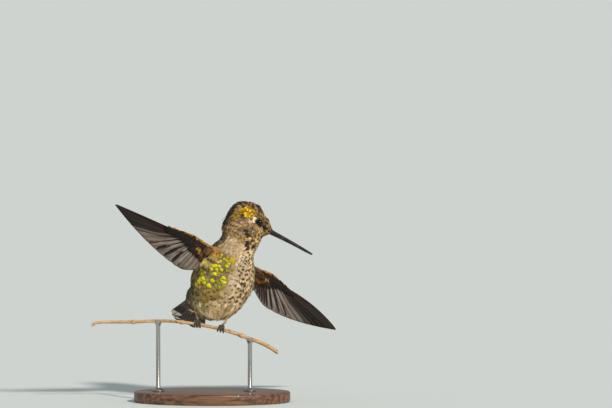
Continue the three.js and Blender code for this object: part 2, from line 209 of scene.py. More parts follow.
def turned(name: str, profile: Sequence[Pair], sides: int) -> Thing:
    """Builds a round rod up from a disc, ring by ring.

    Args:
        name: The object's name.
        profile: Radius and height of each ring, in millimetres, from the bottom to the top.
        sides: Corners of each ring.

    Returns:
        The rod, upright on the origin.
    """
    radius, height = profile[0]
    thing = fresh(
        name, bpy.ops.mesh.primitive_circle_add, vertices=sides, radius=radius * MM, fill_type="NGON",
        location=(0, 0, height * MM),
    )

    def steps() -> None:
        """Extrudes each ring and gives it its radius."""
        for (last_radius, last_height), (ring_radius, ring_height) in zip(profile, profile[1:]):
            rise = {"value": (0, 0, (ring_height - last_height) * MM)}
            bpy.ops.mesh.extrude_region_move(TRANSFORM_OT_translate=rise)
            share = ring_radius / last_radius
            centre = (0, 0, ring_height * MM)
            bpy.ops.transform.resize(value=(share, share, 1), center_override=centre)
        bpy.ops.mesh.select_all(action="SELECT")
        bpy.ops.mesh.normals_make_consistent(inside=False)

    edit(thing, steps)
    return thing


def drawn(name: str, path: Array, radii: Numbers, sides: int = 12, rings: int = 16) -> Thing:
    """Builds a rod of changing thickness and bends it along a path with a Curve modifier.

    Args:
        name: The object's name.
        path: The path's points.
        radii: Radii, in millimetres, at even steps along the path.
        sides: Corners of each ring.
        rings: Rings along the path.

    Returns:
        The bent rod, with round ends.
    """
    length = float(norms(np.diff(path, axis=0)).sum())
    share = np.linspace(0, 1, rings)
    radius = np.interp(share, np.linspace(0, 1, len(radii)), radii)
    first, last = radii[0], radii[-1]
    profile = [(first * 0.2, -first * 0.55), (first * 0.7, -first * 0.35)]
    profile += list(zip(radius, share * length))
    profile += [(last * 0.7, length + last * 0.35), (last * 0.2, length + last * 0.55)]
    thing = turned(name, profile, sides)
    data = bpy.data.curves.new("path", "CURVE")
    data.dimensions = "3D"
    data.twist_mode = "MINIMUM"
    spline = data.splines.new("POLY")
    spline.points.add(len(path) - 1)
    spline.points.foreach_set("co", np.hstack([path * MM, np.ones((len(path), 1))]).ravel())
    guide = linked("path", data)
    apply_modifier(thing, "CURVE", object=guide, deform_axis="POS_Z")
    bpy.data.objects.remove(guide)
    bpy.data.curves.remove(data)
    return thing


def join(things: Sequence[Thing], name: str) -> Thing:
    """Joins objects into the first of them.

    Args:
        things: The objects.
        name: The name of the whole.

    Returns:
        The first object, with all the meshes.
    """
    select_only(things[0])
    for other in things[1:]:
        other.select_set(True)
    bpy.ops.object.join()
    things[0].name = name
    return things[0]


def copy_of(nodes: Sequence[str], name: str) -> Thing:
    """Copies CAD nodes into one new object and merges the doubles of their loose triangles.

    Args:
        nodes: The nodes' names.
        name: The new object's name.

    Returns:
        The new object.
    """
    copies = []
    for node_name in nodes:
        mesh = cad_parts[node_name].data.copy()
        mesh.materials.clear()
        copies.append(linked(name, mesh))
    whole = join(copies, name)
    edit(whole, lambda: bpy.ops.mesh.remove_doubles(threshold=1e-6))
    return whole


def dress(
    thing: Thing, material: bpy.types.Material, slot: str, replaces: Sequence[str] = (), smooth: float = 50,
) -> None:
    """Finishes a piece: shading, material, the body it rides on and the solids it stands for.

    Args:
        thing: The piece.
        material: Its material.
        slot: The record's material slot; not used.
        replaces: The CAD nodes that it stands for.
        smooth: The angle, in degrees, under which edges are shaded smooth.
    """
    thing.data.materials.clear()
    thing.data.materials.append(material)
    select_only(thing)
    bpy.ops.object.shade_smooth_by_angle(angle=math.radians(smooth))
    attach(thing, BODY)
    if replaces:
        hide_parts(*replaces)
    LOG.info("%s: %d faces", thing.name, len(thing.data.polygons))


# ---- finishes
SMOOTH = {"interpolation_type": "SMOOTHSTEP"}
MIX = {"data_type": "RGBA", "at": (0, 6, 7), "out": 2}
PLUS = {"operation": "ADD"}
MINUS = {"operation": "SUBTRACT"}
TIMES = {"operation": "MULTIPLY"}
POWER = {"operation": "POWER"}
TIMES_PLUS = {"operation": "MULTIPLY_ADD"}  # the first times the second, plus the third


def add_node(
    tree: bpy.types.NodeTree, kind: str, *values: Any, at: Sequence[int] = (), out: Any = 0, **named: Any
) -> Socket:
    """Adds a shader node with its settings and links.

    Args:
        tree: The node tree.
        kind: The node's type, without "ShaderNode".
        *values: A value or an output socket for each input in turn.
        at: The numbers of the inputs that these go to, where they aren't the first.
        out: The output that is wanted, by name or number.
        **named: Values or output sockets for other inputs, and the node's own settings.

    Returns:
        The output socket.
    """
    made = tree.nodes.new("ShaderNode" + kind)
    inputs = dict(zip(at or range(len(values)), values))
    for key, value in named.items():
        if key in made.inputs:
            inputs[key] = value
        else:
            setattr(made, key, value)
    for key, value in inputs.items():
        if isinstance(value, Socket):
            tree.links.new(value, made.inputs[key])
        else:
            made.inputs[key].default_value = value
    return made.outputs[out]


def per_mm(size: float) -> float:
    """Gives the scale of a pattern whose features are this many millimetres apart."""
    return 1 / (size * MM)


@dataclass(frozen=True)
class Finish:
    """One surface's material: its name, and the values that are the same all over it."""

    name: str
    roughness: float = 0.6
    metallic: float = 0.0
    ior: float = 1.5
    coat: float = 0.0
    specular: float = 0.5

    def material(self) -> bpy.types.Material:
        """Builds the material and lets the finish wire in its own pattern.

        Returns:
            The material.
        """
        made = bpy.data.materials.new(self.name)
        made.use_nodes = True
        tree = made.node_tree
        tree.nodes.remove(tree.nodes["Principled BSDF"])
        add = partial(add_node, tree)
        values = {
            "Roughness": self.roughness, "Metallic": self.metallic, "IOR": self.ior,
            "Specular IOR Level": self.specular, "Coat Weight": self.coat, "Coat Roughness": 0.04,
            **self.wire(add, add("TexCoord", out="Object")),
        }
        tree.links.new(add("BsdfPrincipled", **values), tree.nodes["Material Output"].inputs["Surface"])
        return made

    def wire(self, add: AddNode, place: Socket) -> dict[str, Any]:
        """Draws the finish's pattern.

        Args:
            add: Adds a node.
            place: The place on the object, in metres.

        Returns:
            A socket or a value for each of the shader's inputs that has a pattern.
        """
        raise NotImplementedError


@dataclass(frozen=True)
class ContourFeather(Finish):
    """Feathers of head and body: matt barbs, grey and downy at the base, with a mark near the tip and
    a plain fringe. Where the colour is structural, flat barbules make the mark shine."""

    down: str = "#7a6f62"
    barb_mm: float = 0.22  # real barbs lie 0.05 mm apart and are drawn coarser, to show
    blot_mm: float = 0.9  # how far apart the uneven places in a mark's edge are
    fleck_mm: float = 0.5
    mark_centre: float = 0.86  # along the feather
    mark_length: float = 0.3

    def wire(self, add: AddNode, place: Socket) -> dict[str, Any]:
        """Lays the mark over the ground, and puts the down under both."""
        blade = add("SeparateXYZ", add("Attribute", attribute_name="blade", out="Vector"))
        across, along, seed = blade.node.outputs
        traits = add("SeparateXYZ", add("Attribute", attribute_name="traits", out="Vector"))
        size, gleam, fringe = traits.node.outputs
        ground, mark = (add("Attribute", attribute_name=name) for name in ("ground", "mark"))
        noise = add("TexNoise", Scale=per_mm(self.fleck_mm), Vector=place)
        warp = add("TexNoise", Scale=per_mm(self.blot_mm), Vector=place, out=1)
        up = add("Math", along, self.mark_centre, **MINUS)
        up = add("Math", up, 1 / self.mark_length, **TIMES)
        squares = []
        for side, shift in zip((across, up), add("SeparateXYZ", warp).node.outputs):
            side = add("Math", add("Math", shift, 0.5, **MINUS), 1.1, side, **TIMES_PLUS)
            squares.append(add("Math", side, 2.0, **POWER))
        reach = add("Math", add("Math", *squares, **PLUS), 0.5, **POWER)
        reach = add("Math", noise, -0.25, reach, **TIMES_PLUS)
        near, far = (add("Math", size, soft, **PLUS) for soft in (0.1, -0.12))
        inside = add("MapRange", reach, near, far, **SMOOTH)
        base = add("MapRange", along, 0.36, 0.06, 0.0, 0.6, **SMOOTH)
        colour = ground
        for share, over in ((inside, mark), (base, linear(self.down))):
            colour = add("Mix", share, colour, over, **MIX)
        value = 0.5
        for part, weight in ((seed, 0.5), (noise, 0.6)):
            value = add("Math", part, weight, value, **TIMES_PLUS)
        edge = add("MapRange", along, 0.72, 0.98, -0.55, 0.25, **SMOOTH)
        edge = add("Math", edge, fringe, 1.0, **TIMES_PLUS)
        edge = add("Math", inside, add("Math", 1.0, edge, **MINUS), edge, **TIMES_PLUS)
        value = add("Math", value, edge, **TIMES)
        shine = add("Math", inside, gleam, **TIMES)
        barbs = add("TexNoise", Scale=per_mm(self.barb_mm), Vector=place)
        return {
            "Base Color": add("HueSaturation", Value=value, Color=colour),
            "Roughness": add("MapRange", shine, 0.0, 1.0, self.roughness, 0.38),
            "Metallic": add("Math", shine, 0.45, **TIMES),
            "Normal": add("Bump", Height=barbs, Distance=0.03 * MM, Strength=0.5),
        }


@dataclass(frozen=True)
class DownySkin(Finish):
    """Skin with the down on it, in the same markings as the feathers over it, but in their shade."""

    down_mm: float = 0.6

    def wire(self, add: AddNode, place: Socket) -> dict[str, Any]:
        """Darkens the markings unevenly."""
        noise = add("TexNoise", Scale=per_mm(self.down_mm), Vector=place)
        value = add("MapRange", noise, 0.25, 0.75, 0.5, 0.8)
        ground = add("Attribute", attribute_name="ground")
        return {
            "Base Color": add("HueSaturation", Value=value, Color=ground),
            "Normal": add("Bump", Height=noise, Distance=0.08 * MM),
        }


@dataclass(frozen=True)
class Vane(Finish):
    """Quills: a shaft and two vanes of fine parallel barbs with a silky shine."""

    shaft: str = "#3b2419"
    barbs: float = 150.0  # barbs along one quill, fewer than the real hundreds, to show
    slant: float = -24.0
    shaft_width: float = 0.12
    seed_tone: float = 0.16
    barb_tone: float = 0.06
    cloud_mm: float = 1.6

    def colours(self, add: AddNode, noise: Socket, *blade: Socket) -> tuple[Any, Any, list]:
        """Gives the first colour, the tone, and the colours over it with how far each shows."""
        raise NotImplementedError

    def wire(self, add: AddNode, place: Socket) -> dict[str, Any]:
        """Lays the colours over each other, then the shaft, and draws the barbs."""
        blade = add("SeparateXYZ", add("Attribute", attribute_name="blade", out="Vector")).node.outputs
        across, along, seed = blade
        noise = add("TexNoise", Scale=per_mm(self.cloud_mm), Vector=place)
        side = add("Math", across, operation="ABSOLUTE")
        first, value, over = self.colours(add, noise, across, along, seed, side)
        shaft = add("MapRange", side, self.shaft_width, 0.04, **SMOOTH)
        colour = linear(first)
        for share, tone in (*over, (shaft, self.shaft)):
            colour = add("Mix", share, colour, linear(tone), **MIX)
        barb = add("Math", along, self.barbs, add("Math", side, self.slant, **TIMES), **TIMES_PLUS)
        barb = add("Math", barb, operation="SINE")
        for part, weight in ((barb, self.barb_tone), (seed, self.seed_tone)):
            value = add("Math", part, weight, value, **TIMES_PLUS)
        return {
            "Base Color": add("HueSaturation", Value=value, Color=colour),
            "Normal": add("Bump", Height=barb, Distance=0.02 * MM, Strength=0.4),
        }


@dataclass(frozen=True)
class FlightVane(Vane):
    """Wing quills: a narrow dark vane before the shaft and a broad one behind it, paler below."""

    dark: str = "#17110e"
    pale: str = "#78716b"
    edge: str = "#5e4a3b"
    above: str = "#3c3531"

    def colours(self, add: AddNode, noise: Socket, *blade: Socket) -> tuple[Any, Any, list]:
        """Colours the vanes by the place across them, and streaks them."""
        across, along, seed, _ = blade
        upper, outer = (add("Attribute", attribute_name=name, out="Fac") for name in ("upper", "outer"))
        # the dark towards the tips and over the outer quills is partly their own colour and partly painted
        # shade
        outwards = add("MapRange", along, 0.6, 1.0, 0.0, 0.5, **SMOOTH)
        outer = add("MapRange", outer, 0.5, 0.72, 0.0, 0.95, **SMOOTH)
        stretch = zip((across, along, seed), (7, 1.5, 40))
        lengthwise = add("CombineXYZ", *(add("Math", part, rate, **TIMES) for part, rate in stretch))
        streaks = add("TexNoise", Scale=1.0, Detail=3.0, Vector=lengthwise)
        value = add("Math", add("MapRange", streaks, 0.36, 0.66, 0.0, 0.85), 0.4, **PLUS)
        over = [
            (add("MapRange", across, 0.0, 0.25, **SMOOTH), self.pale),
            (add("MapRange", across, 0.66, 1.0, **SMOOTH), self.edge),
            (add("Math", outwards, outer, operation="MAXIMUM"), self.dark), (upper, self.above),
        ]
        return self.dark, add("Math", noise, 0.2, value, **TIMES_PLUS), over


@dataclass(frozen=True)
class TailVane(Vane):
    """Tail quills: grey green at the base, then black, with white tips that are largest outside. The
    middle pair is bronze green all over, with a dull shine."""

    shaft: str = "#241f1a"
    barbs: float = 120.0
    slant: float = 0.0
    shaft_width: float = 0.1
    seed_tone: float = 0.15
    barb_tone: float = 0.05
    cloud_mm: float = 1.2
    base: str = "#5d4f3d"
    green: str = "#4c5a26"
    band: str = "#291d15"
    edge: str = "#7d6a55"
    tip: str = "#ded5c6"

    def colours(self, add: AddNode, noise: Socket, *blade: Socket) -> tuple[Any, Any, list]:
        """Bands the vane along its length. The attribute "outer" is 0 in the middle, 1 outside."""
        _, along, _, side = blade
        outer = add("Attribute", attribute_name="outer", out="Fac")
        where = add("Math", noise, 0.07, along, **TIMES_PLUS)
        start = add("Math", outer, -0.33, 1.2, **TIMES_PLUS)
        end = add("Math", start, 0.03, **PLUS)
        over = [
            (add("MapRange", where, 0.52, 0.66, **SMOOTH), self.band),
            (add("MapRange", where, start, end, **SMOOTH), self.tip),
            (add("MapRange", side, 0.72, 1.0, 0.0, 0.7, **SMOOTH), self.edge),
            (add("MapRange", outer, 0.25, 0.0, **SMOOTH), self.green),
        ]
        return self.base, 0.9, over


@dataclass(frozen=True)
class Horn(Finish):
    """Keratin of bill and claws: nearly black and smooth, with a low gloss and brown rubbed streaks."""

    dark: str = "#1b1715"
    worn: str = "#5a4c44"
    streak_mm: float = 1.6
    grain_mm: float = 0.3

    def wire(self, add: AddNode, place: Socket) -> dict[str, Any]:
        """Streaks the horn with wear."""
        wear = add("TexNoise", Scale=per_mm(self.streak_mm), Detail=4.0, Vector=place)
        fine = add("TexNoise", Scale=per_mm(self.grain_mm), Vector=place)
        share = add("MapRange", wear, 0.45, 0.75, 0.0, 0.7, **SMOOTH)
        colour = add("Mix", share, linear(self.dark), linear(self.worn), **MIX)
        return {
            "Base Color": colour, "Normal": add("Bump", Height=fine, Distance=0.02 * MM, Strength=0.5),
        }


@dataclass(frozen=True)
class ScaledSkin(Finish):
    """Skin of legs, toes and lids: dark and dry, in small horny plates with paler edges. The attribute
    "shank" brings up the paler buff of the upper leg."""

    dark: str = "#2a2320"
    light: str = "#51463d"
    shank: str = "#b39a78"
    plate_mm: float = 0.26

    def wire(self, add: AddNode, place: Socket) -> dict[str, Any]:
        """Draws the plates with a cell pattern."""
        cell = add("TexVoronoi", Vector=place, Scale=per_mm(self.plate_mm))
        plates = add("MapRange", cell, 0.2, 0.75, **SMOOTH)
        upper = add("Math", add("Attribute", attribute_name="shank", out="Fac"), 0.85, **TIMES)
        colour = linear(self.dark)
        for share, over in ((plates, self.light), (upper, self.shank)):
            colour = add("Mix", share, colour, linear(over), **MIX)
        height = add("MapRange", cell, 0.7, 0.2, **SMOOTH)
        return {
            "Base Color": colour, "Normal": add("Bump", Height=height, Distance=0.05 * MM),
        }


@dataclass(frozen=True)
class WetCornea(Finish):
    """The eye: black brown iris and pupil under a wet clear cornea, which gives sharp small lights."""

    iris: str = "#0d0806"
    cloud_mm: float = 0.5

    def wire(self, add: AddNode, place: Socket) -> dict[str, Any]:
        """Tints the iris a little unevenly."""
        noise = add("TexNoise", Scale=per_mm(self.cloud_mm), Vector=place)
        value = add("MapRange", noise, 0.3, 0.7, 0.6, 1.2)
        return {"Base Color": add("HueSaturation", Value=value, Color=linear(self.iris))}


@dataclass(frozen=True)
class DryBark(Finish):
    """Bark of a thin dry stem: matt tan, with long raised fibres, dark specks and grey weathering. The
    cut ends show pale wood."""

    tan: str = "#ab8257"
    pale: str = "#cba980"
    dark: str = "#5d3f28"
    wood: str = "#d9c094"
    fibre_mm: float = 0.4
    speck_mm: float = 0.9

    def wire(self, add: AddNode, place: Socket) -> dict[str, Any]:
        """Draws fibres along the stem and specks over them."""
        drawn_out = add("Mapping", Vector=place, Scale=(0.09, 1, 1))
        fibre, speck = (
            add("TexNoise", Scale=per_mm(size), Detail=4.0, Vector=vector)
            for size, vector in ((self.fibre_mm, drawn_out), (self.speck_mm, place))
        )
        colour = linear(self.tan)
        for share, over in (
            (add("MapRange", fibre, 0.38, 0.66, **SMOOTH), self.pale),
            (add("MapRange", speck, 0.56, 0.7, 0.0, 0.85, **SMOOTH), self.dark),
            (add("Attribute", attribute_name="cut", out="Fac"), self.wood),
        ):
            colour = add("Mix", share, colour, linear(over), **MIX)
        height = add("Math", fibre, speck, **PLUS)
        return {
            "Base Color": colour, "Normal": add("Bump", Height=height, Distance=0.12 * MM),
        }


@dataclass(frozen=True)
class OiledWalnut(Finish):
    """Walnut, sanded and oiled: straight dark grain and open pores under a soft low gloss."""

    light: str = "#7b5539"
    dark: str = "#432b1b"
    grain_mm: float = 1.2
    pore_mm: float = 0.35

    def wire(self, add: AddNode, place: Socket) -> dict[str, Any]:
        """Runs the grain along X."""
        place = add("Mapping", Vector=place, Scale=(0.06, 1, 1))
        grain = add("TexNoise", Scale=per_mm(self.grain_mm), Detail=5.0, Vector=place)
        pores = add("TexNoise", Scale=per_mm(self.pore_mm), Vector=place)
        colour = linear(self.dark)
        for share, over in (
            (add("MapRange", grain, 0.34, 0.64, **SMOOTH), self.light),
            (add("MapRange", pores, 0.6, 0.68, 0.0, 0.7, **SMOOTH), self.dark),
        ):
            colour = add("Mix", share, colour, linear(over), **MIX)
        height = add("Math", 1.0, pores, **MINUS)
        return {
            "Base Color": colour, "Normal": add("Bump", Height=height, Distance=0.03 * MM, Strength=0.5),
        }


@dataclass(frozen=True)
class BrushedSteel(Finish):
    """Stainless steel rod, brushed round its length, which draws the light out sideways."""

    tone: str = "#b4b2ad"
    brush_mm: float = 0.25

    def wire(self, add: AddNode, place: Socket) -> dict[str, Any]:
        """Draws fine rings of brushing."""
        rings = add("Mapping", Vector=place, Scale=(0.05, 0.05, 1))
        brushed = add("TexNoise", Scale=per_mm(self.brush_mm), Vector=rings)
        value = add("MapRange", brushed, 0.3, 0.7, 0.85, 1.05)
        return {
            "Base Color": add("HueSaturation", Value=value, Color=linear(self.tone)),
            "Roughness": add("MapRange", brushed, 0.3, 0.7, 0.25, 0.42),
            "Normal": add("Bump", Height=brushed, Distance=0.01 * MM, Strength=0.4),
        }


@dataclass(frozen=True)
class StudioPaper(Finish):
    """Matt paper under the model."""

    tone: str = "#d5dcdd"

    def wire(self, add: AddNode, place: Socket) -> dict[str, Any]:
        """Gives the paper its one tone."""
        return {"Base Color": linear(self.tone)}


# ---- anatomy
class Side(Enum):
    """The bird's own sides, as the CAD nodes name them."""

    RIGHT = "right"
    LEFT = "left"


@dataclass
class Anatomy:
    """Says where a point lies on the bird: along the spine, round it, and on the head."""

    head: Numbers = (12.2, -6, 66)
    forward: Numbers = (0.85, -0.293, -0.442)
    up: Numbers = (0.42, -0.145, 0.896)
    eye: Numbers = (5.5, 4.05, 3.3)  # forward, up and out
    bill_root: Numbers = (10.3, 2.3, 0)
    throat: Numbers = (10.6, -5.4, 60.6)
    throat_way: Numbers = (0.5, 0.05, 0.86)
    wrists: Sequence[tuple] = ((-4.2, -15.5, 61.2), (20.4, 13, 47.9), (26.7, 21, 39.5))
    legs: Sequence[tuple] = (((-4.0, 3.4, 38.2), (-5.7, 1.7, 32.3)), ((3.8, 1.6, 37.2), (5.2, 0.9, 30.2)))
    stations: Sequence[Numbers] = (
        (15.6, -7.2, 74.5, 71), (15.1, -7.0, 73.1, 71), (14.2, -6.7, 71.2, 71), (13.0, -6.3, 68.4, 71),
        (11.6, -5.8, 64.8, 70), (10.3, -5.3, 61.0, 64), (8.7, -4.4, 57.4, 52), (6.6, -2.4, 53.4, 44),
        (4.6, -0.2, 48.6, 40), (2.9, 1.9, 43.6, 35), (0.6, 4.9, 39.3, 28), (-3.0, 9.3, 37.2, 18),
        (-5.2, 14.2, 35.4, 12), (-6.4, 18.8, 33.6, 11),
    )  # x, y and z of the middle, and how far the front is turned from the viewer, in degrees

    def __post_init__(self) -> None:
        """Works out the head's axes and a fine line down the spine."""
        self.head_axes = unit(np.array([self.forward, self.up, np.cross(self.forward, self.up)]))
        rows = smooth_path(self.stations, 12)
        self.line, turn = rows[:, :3], np.radians(rows[:, 3])
        self.steps = np.arange(len(rows)) / 12
        self.tailwards = unit(np.gradient(self.line, axis=0))
        front = np.stack([np.sin(turn), -np.cos(turn), 0 * turn], 1)
        self.front = flat_to(front, self.tailwards)
        self.right = np.cross(self.front, -self.tailwards)

    def in_head(self, forward: float, up: float, out: float = 0) -> Array:
        """Gives the point at these distances from the head's middle; out is to the bird's right."""
        return np.array(self.head) + np.array([forward, up, out]) @ self.head_axes

    def on_head(self, points: Array) -> tuple[Array, Array, Array]:
        """Gives how far forward, up and out each point lies from the head's middle."""
        forward, up, out = ((points - self.head) @ self.head_axes.T).T
        return forward, up, out

    def eyes(self, inwards: float = 0) -> list[Array]:
        """Gives the middles of both eyes, or points this much nearer to the middle of the head."""
        forward, up, out = self.eye
        return [self.in_head(forward, up, (out - inwards) * sign) for sign in (1, -1)]

    def head_share(self, points: Array) -> Array:
        """Gives 1 on the head, 0 on the body, and what lies between at the throat and nape."""
        return ease((points - self.throat) @ unit(np.array(self.throat_way)), -2.2, 1.2)

    def on_body(self, points: Array) -> tuple[Array, Array, Array]:
        """Finds each point's place on the body.

        Args:
            points: The points.

        Returns:
            The station along the spine, the angle round it from the front in degrees, which grows to
            the bird's right, and the direction to the tail.
        """
        nearest = np.array([((self.line - point) ** 2).sum(1).argmin() for point in points])
        away = points - self.line[nearest]
        front, right = (away * self.front[nearest]).sum(1), (away * self.right[nearest]).sum(1)
        return self.steps[nearest], np.degrees(np.arctan2(right, front)), self.tailwards[nearest]

    def on_arm(self, points: Array) -> Array:
        """Gives 1 out on a wing's arm, 0 on the body."""
        away = [norms(points - np.array(wrist)) for wrist in self.wrists]
        return ease(np.min(away, axis=0), 11.5, 9.0)

    def on_leg(self, points: Array) -> tuple[Array, Array]:
        """Finds the points that lie on the thighs.

        Args:
            points: The points.

        Returns:
            How surely each lies on a thigh, from 0 to 1, and the way down that thigh.
        """
        share, way = np.zeros(len(points)), np.zeros((len(points), 3))
        for hip, heel in self.legs:
            run = np.array(heel) - hip
            t = np.clip((points - hip) @ run / (run @ run), 0, 1.2)
            off = norms(points - hip - run * t[:, None])
            own = ease(off, 3.3, 2.3) * ease(t, 0.1, 0.45)
            way = np.where((own > share)[:, None], unit(run), way)
            share = np.maximum(share, own)
        return share, way

    def lie(self, points: Array, normals: Array) -> Array:
        """Gives the way that the plumage lies: away from the bill on the head, then to the tail.

        Args:
            points: Points on the skin.
            normals: The skin's normals there.

        Returns:
            The direction at each point, along the skin.
        """
        from_bill = points - self.in_head(*self.bill_root)
        distance = norms(from_bill)
        _, _, tailwards = self.on_body(points)
        share = ease(distance, 8, 19)[:, None]
        way = flat_to(from_bill, normals) * (1 - share) + flat_to(tailwards, normals) * share
        sink = (ease(points[:, 2], 41, 36) * ease(normals[:, 2], -0.92, -0.7) * 0.8)[:, None]
        below = flat_to(np.array((0.0, 0.1, -1)) + 0 * points, normals)
        way = way * (1 - sink) + below * sink
        leg, down = self.on_leg(points)
        way = way * (1 - leg[:, None]) + down * leg[:, None]
        for eye in self.eyes():
            near = ease(norms(points - eye), 4.2, 1.8)[:, None]
            way = way + flat_to(points - eye, normals) * near * 1.1
        return flat_to(way, normals)


@dataclass
class Surface:
    """The skin, as something to lay feathers on."""

    thing: Thing

    def __post_init__(self) -> None:
        """Reads the skin's points, normals and unwrap."""
        mesh = self.thing.data
        mesh.calc_loop_triangles()
        self.points = read(mesh.vertices, "co", 3) / MM
        self.normals = read(mesh.vertices, "normal", 3)
        self.triangles = read(mesh.loop_triangles, "vertices", 3, int)
        self.unwrap = read(mesh.uv_layers[UV_MAP].data, "uv", 2)[read(mesh.loop_triangles, "loops", 3, int)]
        self.tree = BVHTree.FromPolygons(self.points.tolist(), self.triangles.tolist())

    def corners(self, triangle: Any = slice(None)) -> list[Array]:
        """Gives the first, second and third corners of these triangles, or of all."""
        return [self.points[self.triangles[triangle, i]] for i in range(3)]

    def blend(self, values: Array, triangle: Array, shares: Array) -> Array:
        """Mixes the values of a triangle's corners by their shares."""
        return (values[self.triangles[triangle]] * shares[..., None]).sum(1)

    def nearest(self, points: Array) -> tuple[Array, Array]:
        """Finds the skin's nearest point to each point.

        Args:
            points: The points.

        Returns:
            The skin's points, and its smooth normals there.
        """
        hits = [self.tree.find_nearest(point) for point in points.tolist()]
        found = np.array([tuple(hit[0]) for hit in hits])
        triangle = np.array([hit[2] for hit in hits])
        a, b, c = self.corners(triangle)
        whole = np.cross(b - a, c - a)
        size = np.maximum((whole**2).sum(1), 1e-18)
        first = (np.cross(b - found, c - found) * whole).sum(1) / size
        second = (np.cross(c - found, a - found) * whole).sum(1) / size
        shares = np.stack([first, second, 1 - first - second], 1)
        return found, unit(self.blend(self.normals, triangle, shares))

    def scatter(
        self, spacing: Callable[[Array], Array], candidates: int, seed: int
    ) -> tuple[Array, Array, Array]:
        """Scatters roots over the skin, no two of them nearer than the spacing there.

        Args:
            spacing: Gives the spacing at each point, or 0 where nothing grows.
            candidates: How many places are tried.
            seed: The seed of the random order.

        Returns:
            The roots, the skin's normals there and their places on the unwrap.
        """
        rng = np.random.default_rng(seed)
        a, b, c = self.corners()
        area = norms(np.cross(b - a, c - a))
        triangle = rng.choice(len(area), candidates, p=area / area.sum())
        shares = rng.dirichlet((1, 1, 1), candidates)
        points = self.blend(self.points, triangle, shares)
        gaps = spacing(points)
        near = KDTree(candidates)
        for i, point in enumerate(points.tolist()):
            near.insert(point, i)
        near.balance()
        free = gaps > 0
        kept = []
        for i in range(candidates):
            if free[i]:
                kept.append(i)
                for _, j, _ in near.find_range(points[i], gaps[i]):
                    free[j] = False
        triangle, shares = triangle[kept], shares[kept]
        normals = unit(self.blend(self.normals, triangle, shares))
        places = (self.unwrap[triangle] * shares[..., None]).sum(1)
        return points[kept], normals, places


# ---- plumage
@dataclass
class Look:
    """What the feathers at a set of points are like: colours, mark, size and softness."""

    ground: Array
    mark: Array
    size: Array  # the mark's reach, from 0 for none to about 0.8
    gleam: Array
    fringe: Array  # how dark the feather is inside its pale fringe, from 0 to 1
    length: Array
    width: Array
    rise: Array  # how far the tip stands off, as a share of the usual

    def paint(
        self, share: Array, ground: Optional[str] = None, mark: Optional[str] = None,
        size: Optional[Array] = None, gleam: float = 0,
    ) -> None:
        """Gives the feathers another look where the share is high.

        Args:
            share: How much of the new look each feather takes, from 0 to 1.
            ground: The new ground colour; without it, the old one stays.
            mark: The mark's new colour; without it, the old one stays.
            size: The mark's new reach; without it, reach and shine stay.
            gleam: The mark's new shine.
        """
        for name, colour in (("ground", ground), ("mark", mark)):
            if colour:
                old = getattr(self, name)
                setattr(self, name, old + (np.array(linear(colour)[:3]) - old) * share[:, None])
        if size is not None:
            self.size = self.size + (size - self.size) * share
            self.gleam = self.gleam + (gleam - self.gleam) * share


